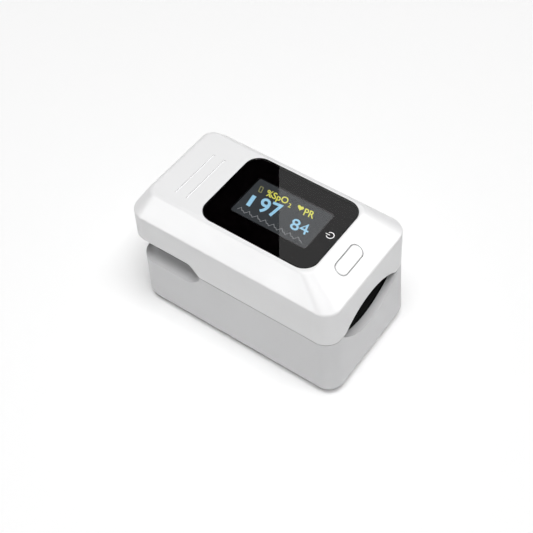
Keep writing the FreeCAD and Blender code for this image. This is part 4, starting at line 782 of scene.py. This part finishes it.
# %% [markdown]
# ## The readings
# Letters come from Blender's own plain font. A text object is turned into a mesh, thickened in weight,
# fitted to the box it should fill and slanted, so its size doesn't depend on the font's own measures.

# %% The readings
LEAN = -0.28
CLIMB = 0.10
WELD = 0.002
FIELD_ABOVE_PANEL = 0.01
MARKS_ABOVE_FIELD = 0.02
panel_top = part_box("display_panel")[1].z / MM
field_low = panel_top + FIELD_ABOVE_PANEL
marks_low = field_low + MARKS_ABOVE_FIELD


def letters(shape, words, left, right, low, high, weight=0.03):
    """Adds flat letters that fill a box, slanted about its lower edge and climbing to the right."""
    text = bpy.data.curves.new(words, "FONT")
    text.body = words
    text.offset = weight
    text.resolution_u = 4
    holder = bpy.data.objects.new(words, text)
    bpy.context.scene.collection.objects.link(holder)
    bpy.context.view_layer.update()
    flat = bpy.data.meshes.new_from_object(holder.evaluated_get(bpy.context.evaluated_depsgraph_get()))
    bpy.data.objects.remove(holder)
    bpy.data.curves.remove(text)
    xs = [vertex.co.x for vertex in flat.vertices]
    ys = [vertex.co.y for vertex in flat.vertices]
    wide = (right - left) / (max(xs) - min(xs))
    tall = (high - low) / (max(ys) - min(ys))
    for vertex in flat.vertices:
        x, y = (vertex.co.x - min(xs)) * wide, (vertex.co.y - min(ys)) * tall
        vertex.co = (left + x + y * LEAN, low + y + x * CLIMB, 0)
    shape.from_mesh(flat)
    bpy.data.meshes.remove(flat)
    bmesh.ops.remove_doubles(shape, verts=shape.verts[:], dist=WELD)


def draw_field(shape):
    fill(shape, rounded_loop(FIELD["left"], FIELD["right"], FIELD["low"], FIELD["high"], FIELD_RADIUS))


HEART_PLACE = (5.45, 4.0)
HEART_SCALE = 0.052
HEART_POINTS = 40


def draw_names(shape):
    """The names of the two readings, each in its box, and a heart between them."""
    letters(shape, "%SpO", -3.5, 2.3, 1.85, 4.5, weight=0.014)
    letters(shape, "2", 2.65, 3.4, 2.5, 3.75, weight=0.008)
    letters(shape, "PR", 7.1, 9.75, 2.45, 4.6, weight=0.012)
    heart = []
    for index in range(HEART_POINTS):
        turn = 2 * math.pi * index / HEART_POINTS
        x = HEART_SCALE * 16 * math.sin(turn) ** 3
        y = HEART_SCALE * (13 * math.cos(turn) - 5 * math.cos(2 * turn)
                           - 2 * math.cos(3 * turn) - math.cos(4 * turn))
        heart.append((HEART_PLACE[0] + x, HEART_PLACE[1] + y))
    fill(shape, leaned(heart, LEAN, HEART_PLACE[1]))


def draw_battery_mark(shape):
    """An upright hollow box."""
    low, high, left, right, stroke = 2.55, 4.45, -5.9, -4.95, 0.2
    outer = rounded_loop(left, right, low, high, radius=0.22, steps=3)
    inner = rounded_loop(left + stroke, right - stroke, low + stroke, high - stroke, radius=0.05, steps=3)
    band_between(shape, leaned(outer, LEAN, low), leaned(inner, LEAN, low))


def draw_four(shape, left, right, low, high, stroke):
    """The font's own 4 fills in at this weight, so this one is a triangle with a foot and an arm."""
    stem = left + (right - left) * 0.78
    bar = low + (high - low) * 0.28
    outer = [(left - stroke * 0.4, bar), (stem, bar), (stem, high)]
    inner = [(left + stroke * 1.1, bar + stroke), (stem - stroke, bar + stroke),
             (stem - stroke, high - stroke * 1.9)]
    foot = [(stem - stroke, low), (stem, low), (stem, bar), (stem - stroke, bar)]
    arm = [(stem, bar), (right, bar), (right, bar + stroke), (stem, bar + stroke)]
    band_between(shape, leaned(outer, LEAN, low), leaned(inner, LEAN, low))
    for loop in (foot, arm):
        fill(shape, leaned(loop, LEAN, low))


def draw_numbers(shape):
    """The two readings, and the bar that rises with each pulse."""
    letters(shape, "97", -2.6, 3.05, -2.75, 1.8, weight=0.018)
    letters(shape, "8", 6.75, 8.95, -2.95, 0.45, weight=0.012)
    draw_four(shape, 9.1, 11.45, -2.55, 0.85, stroke=0.5)
    bar_low, bar_high, bar_left, bar_right = -2.67, 0.93, -5.79, -4.71
    bar = [(bar_left, bar_low), (bar_right, bar_low), (bar_right, bar_high), (bar_left, bar_high)]
    fill(shape, leaned(bar, LEAN / 2, bar_low))


def draw_trace(shape):
    """A pulse wave: a quick rise, a fall with a small shelf, and so on."""
    beats, left, pitch, foot, stroke = 8, -6.7, 2.33, -4.9, 0.13
    one_beat = [(0.55, -3.95), (1.25, -4.75), (1.55, -4.6), (2.1, -5.1)]
    points = [(left, foot)]
    for beat in range(beats):
        start = left + beat * pitch
        points += [(start + ahead, height) for ahead, height in one_beat]
    ribbon(shape, points, stroke)


# The field layer's faint glow is a painted reflection; the marks above it are the display's own light.
thin_layer("field_painted_reflection", draw_field, field_low, field_painted_reflection)
thin_layer("reading_names", draw_names, marks_low, lit_yellow)
thin_layer("battery_mark", draw_battery_mark, marks_low, lit_outline)
thin_layer("reading_numbers", draw_numbers, marks_low, lit_blue)
thin_layer("pulse_trace", draw_trace, marks_low, lit_trace)

# %% [markdown]
# ## The floor's finish
# The floor is white card. It has a faint tooth, so it isn't a mirror, and it stays so pale that only the
# contact shadow shows where the clip stands. The lamp is weaker far away, so the card glows a little more
# there and stays white up to the backdrop.

# %% The floor's finish
NEAR_MM, FAR_MM = 100, 1500
NEAR_GLOW, FAR_GLOW = 0.07, 0.85

white_card, start = new_finish("white_card")
spot = spot_in_mm(start)
tooth = noise(spot, 0.8, detail=3.0)
distance = spot.node("ShaderNodeVectorMath", {"operation": "LENGTH"}, {0: spot}, output="Value")
dress(white_card, {
    "Base Color": mix(tooth, grey(0.94), grey(0.97)),
    "Roughness": 0.85 + tooth * 0.1,
    "Specular IOR Level": 0.1,
    "Emission Color": mix(step(distance, NEAR_MM, FAR_MM), grey(NEAR_GLOW), grey(FAR_GLOW)),
    "Emission Strength": 1.0,
})
floor.data.materials.append(white_card)
say("floor", white_card)
